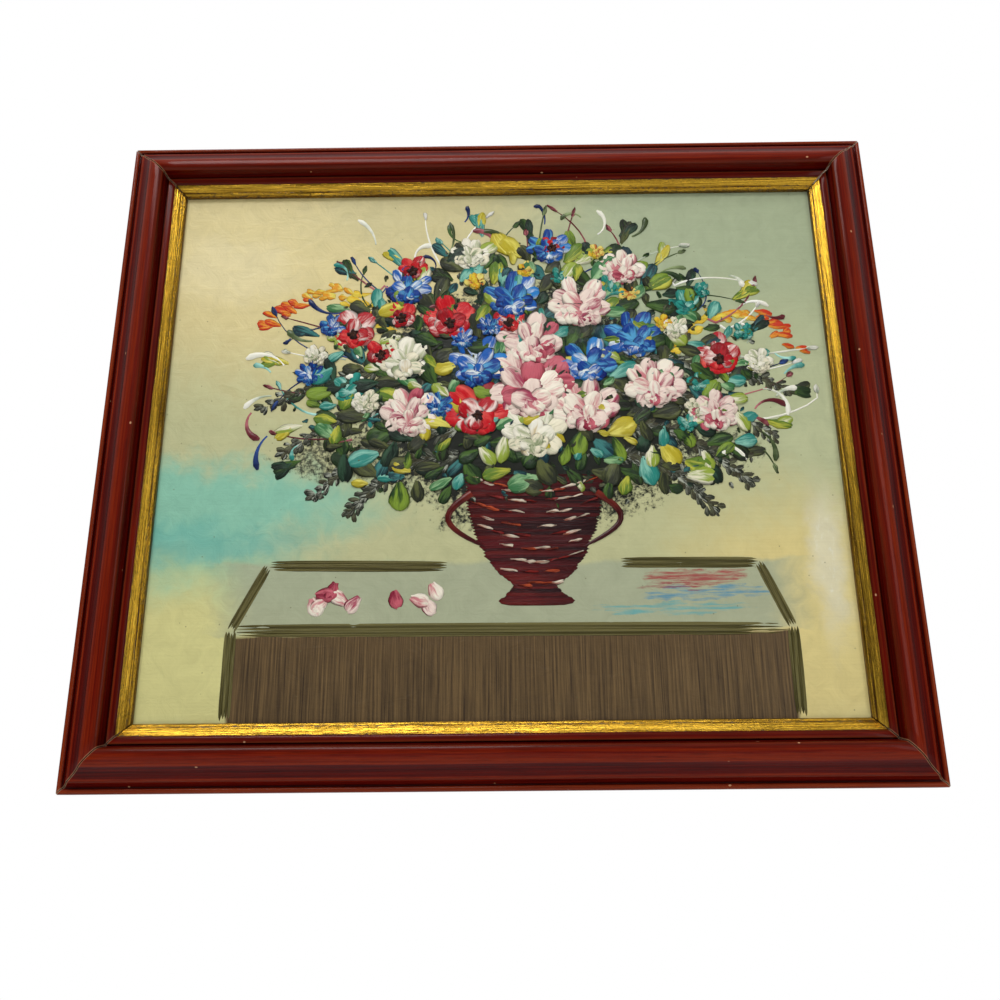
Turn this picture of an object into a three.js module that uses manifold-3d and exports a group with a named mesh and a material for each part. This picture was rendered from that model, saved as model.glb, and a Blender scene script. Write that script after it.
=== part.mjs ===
// Framed oil painting: a knife-painted flower piece on board, in a mitred mahogany-red moulding with a gilt sight edge.
// Millimetres. X runs to the right across the picture, Z up it, and the painted face looks along -Y.
// The origin is the middle of the sawtooth hanger's outer face, where the frame hangs on its nail.

import * as THREE from 'three';
import { ConvexGeometry } from 'three/addons/geometries/ConvexGeometry.js';
import { mergeVertices } from 'three/addons/utils/BufferGeometryUtils.js';
import Module from 'manifold-3d';

// Driving dimensions of the board, a 12 by 10 inch panel
const BOARD_WIDTH = 304.8;
const BOARD_HEIGHT = 254;
const BOARD_THICKNESS = 3;

// Members of the moulding, from its outer side in to the sight edge: how wide each is, and how far it climbs
const SIDE_HEIGHT = 11;
const BEAD_WIDTH = 2.3;
const COVE_WIDTH = 2.3;
const COVE_RISE = 3.1;
const LEDGE_WIDTH = 0.9;
const LEDGE_RISE = 0.3;
const FLANK_WIDTH = 4.8;
const FLANK_RISE = 3.8;
const CREST_WIDTH = 8.1;
const CREST_RISE = 2;
const QUIRK_WIDTH = 0.5;
const QUIRK_DEPTH = 0.7;
const FILLET_WIDTH = 2.8;
const FILLET_HEIGHT = 3.7;
const FILLET_FALL = 0.5;
const GILT_STEP = 0.35;
const GILT_WIDTH = 3.7;
const GILT_FALL = 1.9;
const NOSE_WIDTH = 1.6;
const NOSE_FALL = 1.1;
const LIP_THICKNESS = 1.5;

// Rebate, joints and clearances
const REBATE_COVER = 4;
const BOARD_EDGE_GAP = 1;
const CONTACT_GAP = 0.3;
const MITRE_GAP = 0.45;

// Framer's points: thin steel kites driven into the rebate wall behind the board
const POINTS_PER_RAIL = 2;
const POINT_LENGTH = 14;
const POINT_WIDTH = 6;
const POINT_THICKNESS = 0.5;
const POINT_BITE = 6;

// V nails, pressed into the back across each mitre
const V_NAIL_ARM = 6;
const V_NAIL_THICKNESS = 0.7;
const V_NAIL_DEPTH = 8;
const V_NAIL_INSET = 8;
const V_NAIL_HALF_ANGLE = 40;

// Sawtooth hanger and its nails
const HANGER_LENGTH = 46;
const HANGER_HEIGHT = 9;
const HANGER_THICKNESS = 0.9;
const HANGER_RISE = 1.7;
const HANGER_TAB = 7;
const HANGER_SHOULDER = 3;
const HANGER_INSET = 10;
const TOOTH_PITCH = 3;
const TOOTH_DEPTH = 1.4;
const NAIL_RADIUS = 0.6;
const NAIL_LENGTH = 9;
const NAIL_HEAD_RADIUS = 1.6;
const NAIL_HEAD_THICKNESS = 0.5;

// The thick paint: a bouquet of knife-laid blossoms over a footed urn
const PAINT_THICKNESS = 0.9;
const PETAL_LENGTH = 9.5;
const PETAL_WIDTH = 6;
const LEAF_LENGTH = 13;
const LEAF_WIDTH = 4.5;
const BOUQUET_ACROSS = 15;
const BOUQUET_UP = 22;
const RING_SPACING = 23;
const RING_STRETCH = 1.25;
const URN_HEIGHT = 58;
const URN_RADIUS = 30;
const URN_STROKE_LENGTH = 9;
const URN_STROKE_WIDTH = 2.6;

// Sizes that follow from those above
const railWidth = BEAD_WIDTH + COVE_WIDTH + LEDGE_WIDTH + FLANK_WIDTH + CREST_WIDTH
  + QUIRK_WIDTH + FILLET_WIDTH + GILT_WIDTH + NOSE_WIDTH;
const rebateWidth = REBATE_COVER + BOARD_EDGE_GAP;
const sightWidth = BOARD_WIDTH - 2 * REBATE_COVER;
const sightHeight = BOARD_HEIGHT - 2 * REBATE_COVER;
const outerWidth = sightWidth + 2 * railWidth;
const outerHeight = sightHeight + 2 * railWidth;
const goldStart = SIDE_HEIGHT + FILLET_HEIGHT - FILLET_FALL - GILT_STEP;
const rebateDepth = goldStart - GILT_FALL - NOSE_FALL - LIP_THICKNESS;
const boardFace = rebateDepth - CONTACT_GAP;
const boardBack = boardFace - BOARD_THICKNESS;
const backPlane = -(HANGER_THICKNESS + HANGER_RISE + CONTACT_GAP);
const frameTop = HANGER_INSET;
const nailSpacing = HANGER_LENGTH - HANGER_TAB;
const quarterTurn = Math.PI / 2;

const wasm = await Module();
wasm.setup();

/** Turns a closed geometry into a solid that can be joined and cut. */
function toSolid(geometry) {
  const bare = geometry.index ? geometry.toNonIndexed() : geometry.clone();
  bare.deleteAttribute('normal');
  bare.deleteAttribute('uv');
  const merged = mergeVertices(bare, 1e-4);
  return new wasm.Manifold(new wasm.Mesh({
    numProp: 3,
    vertProperties: new Float32Array(merged.attributes.position.array),
    triVerts: new Uint32Array(merged.index.array),
  }));
}

/** Turns a solid back into a geometry. */
function toGeometry(solid) {
  const mesh = solid.getMesh();
  const geometry = new THREE.BufferGeometry();
  geometry.setAttribute('position', new THREE.BufferAttribute(mesh.vertProperties, 3));
  geometry.setIndex(new THREE.BufferAttribute(mesh.triVerts, 1));
  return geometry;
}

/** Cuts every tool out of a body. */
function cut(body, tools) {
  return toGeometry(tools.reduce((solid, tool) => solid.subtract(toSolid(tool)), toSolid(body)));
}

/** The moulding's section: x is the way in from the outer side, y the height above the flat back. */
function mouldingSection() {
  const section = new THREE.Shape();
  const pen = { x: 0, y: 0 };
  const lineBy = (across, up) => {
    pen.x += across;
    pen.y += up;
    section.lineTo(pen.x, pen.y);
  };
  const curveBy = (across, up, bendAcross, bendUp) => {
    const bendX = pen.x + across * bendAcross;
    const bendY = pen.y + up * bendUp;
    pen.x += across;
    pen.y += up;
    section.quadraticCurveTo(bendX, bendY, pen.x, pen.y);
  };
  section.moveTo(0, 0);
  lineBy(0, SIDE_HEIGHT);
  section.absarc(BEAD_WIDTH / 2, SIDE_HEIGHT, BEAD_WIDTH / 2, Math.PI, 0, true);
  pen.x = BEAD_WIDTH;
  curveBy(COVE_WIDTH, COVE_RISE, 0.6, 0.25);
  lineBy(LEDGE_WIDTH, LEDGE_RISE);
  curveBy(FLANK_WIDTH, FLANK_RISE, 0.6, 0.3);
  curveBy(CREST_WIDTH * 0.55, CREST_RISE, 0.4, 0.95);
  curveBy(CREST_WIDTH * 0.33, -CREST_RISE * 0.7, 0.85, 0.05);
  lineBy(CREST_WIDTH * 0.12, SIDE_HEIGHT + FILLET_HEIGHT - QUIRK_DEPTH - pen.y);
  lineBy(QUIRK_WIDTH, 0);
  lineBy(0, QUIRK_DEPTH);
  curveBy(FILLET_WIDTH, -FILLET_FALL, 0.5, 0);
  lineBy(0, -GILT_STEP);
  curveBy(GILT_WIDTH, -GILT_FALL, 0.55, 0.35);
  curveBy(NOSE_WIDTH, -NOSE_FALL, 0.8, 0.25);
  lineBy(0, -LIP_THICKNESS);
  lineBy(-rebateWidth, 0);
  lineBy(0, -rebateDepth);
  return section;
}

/**
 * One length of moulding with both ends mitred. Its outer back edge lies on the X axis, its front looks along -Y and
 * its sight edge along -Z.
 */
function mitredLength(length) {
  const bar = new THREE.ExtrudeGeometry(mouldingSection(), { depth: 1, bevelEnabled: false, curveSegments: 6 });
  const place = bar.attributes.position;
  const endLoss = MITRE_GAP / Math.SQRT2;
  for (let i = 0; i < place.count; i += 1) {
    const inward = place.getX(i);
    const height = place.getY(i);
    const side = place.getZ(i) > 0.5 ? -1 : 1;
    place.setXYZ(i, side * (length / 2 - inward - endLoss), -height, -inward);
  }
  return bar;
}

/** A framer's point as a flat kite, its sharp end towards +Z. growth makes the slot's cutter a little larger. */
function framerPoint(growth) {
  const half = POINT_WIDTH / 2 + growth;
  const kite = new THREE.Shape();
  kite.moveTo(0, POINT_BITE + 2 * growth);
  kite.lineTo(-half, 0);
  kite.lineTo(-half * 0.6, POINT_BITE - POINT_LENGTH);
  kite.lineTo(half * 0.6, POINT_BITE - POINT_LENGTH);
  kite.lineTo(half, 0);
  kite.closePath();
  const thickness = POINT_THICKNESS + 2 * growth;
  const plate = new THREE.ExtrudeGeometry(kite, { depth: thickness, bevelEnabled: false });
  plate.rotateX(quarterTurn);
  plate.translate(0, thickness / 2, 0);
  return plate;
}

/** A V nail seen from the back: its fold on the Z axis, its arms towards -Z, and its depth along -Y. */
function vNail(growth) {
  const angle = THREE.MathUtils.degToRad(V_NAIL_HALF_ANGLE);
  const half = (V_NAIL_THICKNESS / 2 + growth) / Math.sin(angle);
  const reach = V_NAIL_ARM + growth;
  const across = reach * Math.sin(angle);
  const along = reach * Math.cos(angle);
  const outline = new THREE.Shape();
  outline.moveTo(0, half);
  outline.lineTo(-across, half - along);
  outline.lineTo(-across, -half - along);
  outline.lineTo(0, -half);
  outline.lineTo(across, -half - along);
  outline.lineTo(across, half - along);
  outline.closePath();
  const depth = V_NAIL_DEPTH + growth;
  const strip = new THREE.ExtrudeGeometry(outline, { depth: growth ? depth + 1 : depth, bevelEnabled: false });
  strip.rotateX(quarterTurn);
  strip.translate(0, growth ? 1 : -CONTACT_GAP, 0);
  return strip;
}

/** A round rod along Y, from its outer end at y = 0 down to -length. */
function rod(radius, length) {
  const cylinder = new THREE.CylinderGeometry(radius, radius, length, 12);
  cylinder.translate(0, -length / 2, 0);
  return cylinder;
}

/** Places along a rail, spread evenly with half a space at each end. */
function evenly(count, span) {
  return Array.from({ length: count }, (_, i) => ((i + 0.5) / count - 0.5) * span);
}

/** Where the framer's points lie on a rail, and how far its rebate runs. */
function pointPlaces(length) {
  return evenly(POINTS_PER_RAIL, length - 2 * railWidth);
}

const pointHeight = boardBack - CONTACT_GAP - POINT_THICKNESS / 2;
const rebateWall = railWidth - rebateWidth;

/** A finished rail: the mitred length, slotted for its framer's points and for the V nails of its two mitres. */
function rail(length, nailHoles) {
  const tools = pointPlaces(length).map((x) => framerPoint(CONTACT_GAP).translate(x, -pointHeight, -rebateWall));
  for (const side of [-1, 1]) {
    const tool = vNail(CONTACT_GAP);
    tool.rotateY(side * quarterTurn / 2);
    tool.translate(side * (length / 2 - V_NAIL_INSET), 0, -V_NAIL_INSET);
    tools.push(tool);
  }
  for (const x of nailHoles) {
    tools.push(rod(NAIL_RADIUS + CONTACT_GAP, NAIL_LENGTH + 1).translate(x, 1, -HANGER_INSET));
  }
  return cut(mitredLength(length), tools);
}

/** One knife dab of paint on the plane y = 0: a low ridge that is highest near its head, which points along +Z. */
function dab(length, width, thickness) {
  const root = CONTACT_GAP;
  const outline = [[0, 0.5], [0.42, 0.28], [0.4, -0.12], [0, -0.5], [-0.4, -0.12], [-0.42, 0.28]];
  const points = outline.map(([x, z]) => new THREE.Vector3(x * width, root, z * length));
  points.push(new THREE.Vector3(0, -thickness, 0.24 * length), new THREE.Vector3(0, -thickness * 0.5, -0.25 * length));
  return new ConvexGeometry(points);
}

/** A dab turned by an angle in the picture and moved to its place across and up from the picture's middle. */
function placedDab(length, width, thickness, angle, across, up) {
  return dab(length, width, thickness).rotateY(angle).translate(across, 0, up);
}

/** Petals round the middle of each blossom, on rings that widen out of the urn. */
function blossomDabs() {
  const dabs = [];
  const rings = [[0, 1], [1, 6], [2, 11], [3, 15]];
  for (const [ring, count] of rings) {
    for (let i = 0; i < count; i += 1) {
      const around = 2 * Math.PI * ((i + 0.5 * (ring % 2)) / count);
      const across = BOUQUET_ACROSS + ring * RING_SPACING * RING_STRETCH * Math.cos(around);
      const up = BOUQUET_UP + ring * RING_SPACING * Math.sin(around);
      const underRim = Math.sin(around) < -0.35 && ring > 1;
      const petals = underRim ? 0 : 4 + ((i + ring) % 3);
      for (let k = 0; k < petals; k += 1) {
        const turn = 2 * Math.PI * (k / petals) + 0.7 * i;
        const reach = PETAL_LENGTH * 0.48;
        dabs.push(placedDab(PETAL_LENGTH, PETAL_WIDTH, PAINT_THICKNESS * (0.8 + 0.05 * k),
          turn, across + reach * Math.sin(turn), up + reach * Math.cos(turn)));
      }
    }
  }
  return dabs;
}

/** Leaves that fan out past the blossoms, left, right and over the top. */
function leafDabs() {
  const dabs = [];
  const count = 21;
  for (let i = 0; i < count; i += 1) {
    const around = THREE.MathUtils.degToRad(-24 + 228 * (i / (count - 1)));
    const reach = RING_SPACING * (3.6 + 0.25 * (i % 3));
    const across = BOUQUET_ACROSS + reach * RING_STRETCH * Math.cos(around);
    const up = BOUQUET_UP + reach * Math.sin(around) * 0.92;
    dabs.push(placedDab(LEAF_LENGTH, LEAF_WIDTH, PAINT_THICKNESS * 0.6, quarterTurn - around, across, up));
  }
  return dabs;
}

/** Rows of short strokes that model the urn's bowl. */
function urnDabs() {
  const dabs = [];
  const rows = 6;
  for (let row = 0; row < rows; row += 1) {
    const fall = (row + 0.5) / rows;
    const halfWidth = URN_RADIUS * Math.sqrt(1 - fall * fall * 0.9);
    const count = Math.max(2, Math.round(2 * halfWidth / URN_STROKE_LENGTH));
    for (const place of evenly(count, 2 * halfWidth - URN_STROKE_LENGTH * 0.3)) {
      dabs.push(placedDab(URN_STROKE_LENGTH, URN_STROKE_WIDTH, PAINT_THICKNESS * 0.7,
        quarterTurn, BOUQUET_ACROSS + place, BOUQUET_UP - RING_SPACING * 1.9 - fall * URN_HEIGHT * 0.8));
    }
  }
  return dabs;
}

/** The board with its thick paint: its painted face is the plane y = 0 and it is centred on the picture. */
function paintedBoard() {
  const panel = new THREE.BoxGeometry(BOARD_WIDTH, BOARD_THICKNESS, BOARD_HEIGHT);
  panel.translate(0, BOARD_THICKNESS / 2, 0);
  const paint = [...leafDabs(), ...blossomDabs(), ...urnDabs()];
  return toGeometry(paint.reduce((solid, stroke) => solid.add(toSolid(stroke)), toSolid(panel)));
}

/** The hanger: a strip with its middle raised off the wood, teeth along its lower edge and a nail hole in each end. */
function sawtoothHanger() {
  const half = HANGER_LENGTH / 2;
  const kneeOut = half - HANGER_TAB;
  const kneeIn = kneeOut - HANGER_SHOULDER;
  const strip = new THREE.Shape();
  const face = [[-half, -HANGER_RISE], [-kneeOut, -HANGER_RISE], [-kneeIn, 0], [kneeIn, 0],
    [kneeOut, -HANGER_RISE], [half, -HANGER_RISE]];
  const under = face.map(([x, y]) => [x, y - HANGER_THICKNESS]).reverse();
  strip.setFromPoints([...face, ...under].map(([x, y]) => new THREE.Vector2(x, y)));
  const plate = new THREE.ExtrudeGeometry(strip, { depth: HANGER_HEIGHT, bevelEnabled: false });
  plate.translate(0, 0, -HANGER_HEIGHT / 2);
  const notches = Math.floor(2 * kneeIn / TOOTH_PITCH);
  const tools = evenly(notches, notches * TOOTH_PITCH).map((x) => {
    const notch = new THREE.Shape();
    notch.moveTo(x - TOOTH_PITCH * 0.42, -HANGER_HEIGHT / 2 - 1);
    notch.lineTo(x + TOOTH_PITCH * 0.42, -HANGER_HEIGHT / 2 - 1);
    notch.lineTo(x, -HANGER_HEIGHT / 2 + TOOTH_DEPTH);
    notch.closePath();
    const tool = new THREE.ExtrudeGeometry(notch, { depth: 2 * HANGER_THICKNESS, bevelEnabled: false });
    return tool.rotateX(quarterTurn).translate(0, HANGER_THICKNESS / 2, 0);
  });
  for (const side of [-1, 1]) {
    tools.push(rod(NAIL_RADIUS + CONTACT_GAP, HANGER_RISE + 2 * HANGER_THICKNESS).translate(side * nailSpacing / 2, 0, 0));
  }
  return cut(plate, tools);
}

/** A small round nail, its head's underside at y = 0. */
function hangerNail() {
  const profile = [[0, -NAIL_LENGTH], [NAIL_RADIUS * 0.5, -NAIL_LENGTH + 1], [NAIL_RADIUS, -NAIL_LENGTH + 2],
    [NAIL_RADIUS, 0], [NAIL_HEAD_RADIUS, 0], [NAIL_HEAD_RADIUS * 0.8, NAIL_HEAD_THICKNESS * 0.8],
    [0, NAIL_HEAD_THICKNESS]];
  return new THREE.LatheGeometry(profile.map(([x, y]) => new THREE.Vector2(x, y)), 12);
}

/** A named mesh with its finish. */
function piece(name, geometry, finish) {
  const mesh = new THREE.Mesh(geometry, finish);
  mesh.name = name;
  return mesh;
}

const stainedWood = new THREE.MeshStandardMaterial({ color: 0x6a2314, roughness: 0.35, metalness: 0 });
const paint = new THREE.MeshStandardMaterial({ color: 0xb9b98a, roughness: 0.5, metalness: 0 });
const steel = new THREE.MeshStandardMaterial({ color: 0x9a9a98, roughness: 0.4, metalness: 1 });
const brassedSteel = new THREE.MeshStandardMaterial({ color: 0xb08d4a, roughness: 0.35, metalness: 1 });

// The frame, its origin at the middle of the outline on the flat back
const picture = new THREE.Group();
picture.position.set(0, backPlane, frameTop - outerHeight / 2);

const rails = [
  { side: 'top', length: outerWidth, reach: outerHeight / 2, turn: 0, nailHoles: [-nailSpacing / 2, nailSpacing / 2] },
  { side: 'bottom', length: outerWidth, reach: outerHeight / 2, turn: Math.PI, nailHoles: [] },
  { side: 'left', length: outerHeight, reach: outerWidth / 2, turn: -quarterTurn, nailHoles: [] },
  { side: 'right', length: outerHeight, reach: outerWidth / 2, turn: quarterTurn, nailHoles: [] },
];

for (const { side, length, reach, turn, nailHoles } of rails) {
  const arm = new THREE.Group();
  arm.rotation.y = turn;
  arm.position.set(Math.sin(turn) * reach, 0, Math.cos(turn) * reach);
  arm.add(piece(`rail_${side}`, rail(length, nailHoles), stainedWood));
  pointPlaces(length).forEach((x, i) => {
    const point = piece(`framer_point_${side}_${i + 1}`, framerPoint(0), steel);
    point.position.set(x, -pointHeight, -rebateWall);
    arm.add(point);
  });
  picture.add(arm);
}

for (const [vertical, up] of [['top', 1], ['bottom', -1]]) {
  for (const [horizontal, across] of [['left', -1], ['right', 1]]) {
    const nail = piece(`v_nail_${vertical}_${horizontal}`, vNail(0), steel);
    nail.rotation.y = Math.atan2(across, up);
    nail.position.set(across * (outerWidth / 2 - V_NAIL_INSET), 0, up * (outerHeight / 2 - V_NAIL_INSET));
    picture.add(nail);
  }
}

const board = piece('painted_board', paintedBoard(), paint);
board.position.y = -boardFace;
picture.add(board);

const part = new THREE.Group();
part.add(picture);
part.add(piece('sawtooth_hanger', sawtoothHanger(), brassedSteel));
for (const [side, across] of [['left', -1], ['right', 1]]) {
  const nail = piece(`hanger_nail_${side}`, hangerNail(), brassedSteel);
  nail.position.set(across * nailSpacing / 2, CONTACT_GAP - HANGER_RISE, 0);
  part.add(nail);
}

export default part;
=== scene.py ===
"""Framed oil painting: knife-laid flowers over an urn, on board, in a red-stained moulding with a gilt edge.

Metres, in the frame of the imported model: X to the right across the picture, Z up it, the painted face
along -Y, and the origin on the hanger's outer face. Sizes in the classes are in millimetres, as the maker
measures them.
"""
import logging
import math
import random
from collections.abc import Callable, Iterator
from dataclasses import dataclass, field
from enum import Enum

import bmesh
import bpy
import numpy as np
from mathutils import Matrix, Vector, noise


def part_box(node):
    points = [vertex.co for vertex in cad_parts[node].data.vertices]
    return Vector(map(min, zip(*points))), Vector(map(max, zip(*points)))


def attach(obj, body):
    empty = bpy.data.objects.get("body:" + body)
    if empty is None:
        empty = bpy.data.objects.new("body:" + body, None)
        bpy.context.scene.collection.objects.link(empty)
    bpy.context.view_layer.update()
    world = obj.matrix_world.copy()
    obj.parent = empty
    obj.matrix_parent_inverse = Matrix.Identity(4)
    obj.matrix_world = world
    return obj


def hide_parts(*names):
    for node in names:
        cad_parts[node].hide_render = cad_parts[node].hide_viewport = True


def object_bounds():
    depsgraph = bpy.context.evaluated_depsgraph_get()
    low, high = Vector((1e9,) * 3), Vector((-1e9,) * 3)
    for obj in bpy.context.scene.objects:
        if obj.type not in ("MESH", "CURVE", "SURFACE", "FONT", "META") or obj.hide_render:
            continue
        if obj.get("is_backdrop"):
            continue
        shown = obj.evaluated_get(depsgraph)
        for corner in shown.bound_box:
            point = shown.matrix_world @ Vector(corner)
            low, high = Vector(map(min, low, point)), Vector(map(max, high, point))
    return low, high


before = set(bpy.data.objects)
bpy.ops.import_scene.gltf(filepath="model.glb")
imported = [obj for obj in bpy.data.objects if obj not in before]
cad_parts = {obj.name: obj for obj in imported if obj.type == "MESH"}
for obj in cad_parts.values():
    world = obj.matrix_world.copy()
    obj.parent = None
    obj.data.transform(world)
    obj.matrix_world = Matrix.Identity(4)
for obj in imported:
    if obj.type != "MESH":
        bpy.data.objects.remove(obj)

CAD_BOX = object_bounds()
MM = 0.001
BODY = "root"
BOARD_THICKNESS = 3 * MM
FULL_TURN = 2 * math.pi
GOLDEN_ANGLE = math.pi * (3 - math.sqrt(5))
GOLDEN_SHARE = 0.618
Socket = bpy.types.NodeSocket
Point = tuple[float, float, float]
Place = tuple[float, float]
Pair = tuple[str, str]
# Two numbers that go together, mostly the lowest and highest of a random draw.
Span = tuple[float, float]
# Low and high going in, then what they become coming out.
Ramp = tuple[float, float, float, float]
log = logging.getLogger("framed_painting")


def linear(hex_colour: str) -> tuple[float, float, float, float]:
    """Turns an sRGB hex colour into the linear colour that shaders take.

    Args:
        hex_colour: Colour as "#rrggbb".

    Returns:
        Red, green, blue and an alpha of 1.
    """
    parts = [int(hex_colour[i : i + 2], 16) / 255 for i in (1, 3, 5)]
    red, green, blue = (c / 12.92 if c <= 0.04045 else ((c + 0.055) / 1.055) ** 2.4 for c in parts)
    return red, green, blue, 1.0


class Bench:
    """A node tree being built, with one short call for each kind of node that comes back."""

    def __init__(self, tree: bpy.types.NodeTree) -> None:
        """Takes the tree to build in."""
        self.tree = tree

    def add(
        self, kind: str, inputs: dict[int | str, object] | None = None, **settings: object
    ) -> bpy.types.Node:
        """Adds a node.

        Args:
            kind: Node's type name.
            inputs: Values, hex colours or output sockets, by input name or number.
            **settings: Properties of the node itself.

        Returns:
            The new node.
        """
        node = self.tree.nodes.new(kind)
        for name, value in settings.items():
            setattr(node, name, value)
        self.fill(node, inputs or {})
        return node

    def fill(self, node: bpy.types.Node, inputs: dict[int | str, object]) -> None:
        """Links or sets a node's inputs."""
        for key, value in inputs.items():
            if isinstance(value, Socket):
                self.tree.links.new(value, node.inputs[key])
            else:
                is_colour = isinstance(value, str) and value.startswith("#")
                node.inputs[key].default_value = linear(value) if is_colour else value

    def math(self, operation: str, *values: Socket | float) -> Socket:
        """Works on plain numbers."""
        return self.add("ShaderNodeMath", dict(enumerate(values)), operation=operation).outputs[0]

    def vector(self, operation: str, *values: Socket | Vector | Point) -> Socket:
        """Works on vectors; a number that is linked in counts for all three parts."""
        node = self.add("ShaderNodeVectorMath", dict(enumerate(values)), operation=operation)
        return node.outputs[1 if operation == "LENGTH" else 0]

    def scaled(self, place: Socket, *factors: float) -> Socket:
        """Stretches a place by one factor along each axis."""
        return self.vector("MULTIPLY", place, factors)

    def parts(self, place: Socket) -> bpy.types.NodeOutputs:
        """Splits a place into its three numbers."""
        return self.add("ShaderNodeSeparateXYZ", {0: place}).outputs

    def joined(self, *numbers: Socket | float) -> Socket:
        """Joins three numbers into a place."""
        return self.add("ShaderNodeCombineXYZ", dict(enumerate(numbers))).outputs[0]

    def between(
        self, value: Socket, low: float, high: float, to_low: float = 0.0, to_high: float = 1.0,
        smooth: bool = False,
    ) -> Socket:
        """Maps one range of numbers onto another and holds at its ends."""
        curve = "SMOOTHSTEP" if smooth else "LINEAR"
        inputs = dict(enumerate((value, low, high, to_low, to_high)))
        return self.add("ShaderNodeMapRange", inputs, interpolation_type=curve).outputs[0]

    def blend(self, share: Socket, under: Socket | str, over: Socket | str) -> Socket:
        """Lays one colour over another by a share."""
        return self.add("ShaderNodeMix", {0: share, 6: under, 7: over}, data_type="RGBA").outputs[2]

    def noise(
        self, place: Socket, detail: float, roughness: float = 0.6, scale: float = 1.0,
        distortion: float = 0.0,
    ) -> Socket:
        """Gives soft noise at a place."""
        return self.add("ShaderNodeTexNoise", {"Vector": place, "Scale": scale, "Detail": detail,
                                               "Roughness": roughness, "Distortion": distortion}).outputs[0]

    def cells(self, place: Socket, scale: float = 1.0, feature: str = "F1") -> Socket:
        """Gives the distance to the nearest of many scattered points, or to the edge between two."""
        inputs = {"Vector": place, "Scale": scale}
        return self.add("ShaderNodeTexVoronoi", inputs, feature=feature).outputs["Distance"]

    def object_place(self) -> Socket:
        """Gives the place in the object's own coordinates."""
        return self.add("ShaderNodeTexCoord").outputs["Object"]

    def attribute(self, name: str, output: str = "Fac") -> Socket:
        """Reads what the mesh carries under a name, in a material."""
        return self.add("ShaderNodeAttribute", attribute_name=name).outputs[output]

    def stored(self, name: str, kind: str = "FLOAT") -> Socket:
        """Reads what the geometry carries under a name, in a geometry tree."""
        node = self.add("GeometryNodeInputNamedAttribute", {"Name": name}, data_type=kind)
        return node.outputs["Attribute"]

    def bump(self, height: Socket, strength: float, depth_mm: float, normal: Socket | None = None) -> Socket:
        """Turns a height into a bent normal, on top of an earlier one if given."""
        inputs = {"Strength": strength, "Distance": depth_mm * MM, "Height": height}
        if normal is not None:
            inputs["Normal"] = normal
        return self.add("ShaderNodeBump", inputs).outputs[0]


class Finish(Bench):
    """A material being built on one principled surface."""

    def __init__(self, name: str) -> None:
        """Starts the material under its name."""
        self.material = bpy.data.materials.new(name)
        self.material.use_nodes = True
        super().__init__(self.material.node_tree)

    def done(self, inputs: dict[str, object]) -> bpy.types.Material:
        """Feeds the surface its inputs and gives the material."""
        self.fill(self.tree.nodes["Principled BSDF"], inputs)
        return self.material


def geometry_bench(name: str, sockets: dict[str, str]) -> tuple[Bench, bpy.types.NodeOutputs]:
    """Starts a geometry tree with named inputs and one geometry output.

    Args:
        name: Tree's name.
        sockets: Input names and their socket types, after the geometry itself.

    Returns:
        The bench that the tree is built on, and the tree's inputs.
    """
    tree = bpy.data.node_groups.new(name, "GeometryNodeTree")
    tree.interface.new_socket(name="Geometry", in_out="INPUT", socket_type="NodeSocketGeometry")
    for socket, kind in sockets.items():
        tree.interface.new_socket(name=socket, in_out="INPUT", socket_type="NodeSocket" + kind)
    tree.interface.new_socket(name="Geometry", in_out="OUTPUT", socket_type="NodeSocketGeometry")
    bench = Bench(tree)
    return bench, bench.add("NodeGroupInput").outputs


def grown(mesh: bpy.types.Mesh, bench: Bench, values: dict[str, object], name: str) -> bpy.types.Mesh:
    """Runs a geometry tree on a mesh and returns the plain mesh that comes out.

    Args:
        mesh: Mesh that the tree starts from.
        bench: Bench that holds the geometry tree.
        values: Input values by name.
        name: Name of the new mesh.

    Returns:
        The realized mesh, with no modifier left.
    """
    carrier = bpy.data.objects.new(name + "_carrier", mesh)
    bpy.context.scene.collection.objects.link(carrier)
    modifier = carrier.modifiers.new(name, "NODES")
    modifier.node_group = bench.tree
    for item in bench.tree.interface.items_tree:
        if item.item_type == "SOCKET" and item.in_out == "INPUT" and item.name in values:
            modifier[item.identifier] = values[item.name]
    carrier.update_tag()
    bpy.context.view_layer.update()
    depsgraph = bpy.context.evaluated_depsgraph_get()
    evaluated = carrier.evaluated_get(depsgraph)
    result = bpy.data.meshes.new_from_object(evaluated, preserve_all_data_layers=True, depsgraph=depsgraph)
    result.name = name
    bpy.data.objects.remove(carrier)
    if len(result.materials) > 1 and result.materials[0] is None:
        result.materials.pop(index=0)
    return result


def face_outwards(mesh: bpy.types.Mesh, crease_deg: float) -> None:
    """Merges doubles, turns every face out, shades smooth and keeps edges past a crease angle sharp.

    Args:
        mesh: Mesh to finish.
        crease_deg: Angle past which an edge stays sharp.
    """
    bench = bmesh.new()
    bench.from_mesh(mesh)
    bmesh.ops.remove_doubles(bench, verts=bench.verts, dist=1e-7)
    bmesh.ops.recalc_face_normals(bench, faces=bench.faces)
    for face in bench.faces:
        face.smooth = True
    bench.to_mesh(mesh)
    bench.free()
    mesh.set_sharp_from_angle(angle=math.radians(crease_deg))


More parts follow.
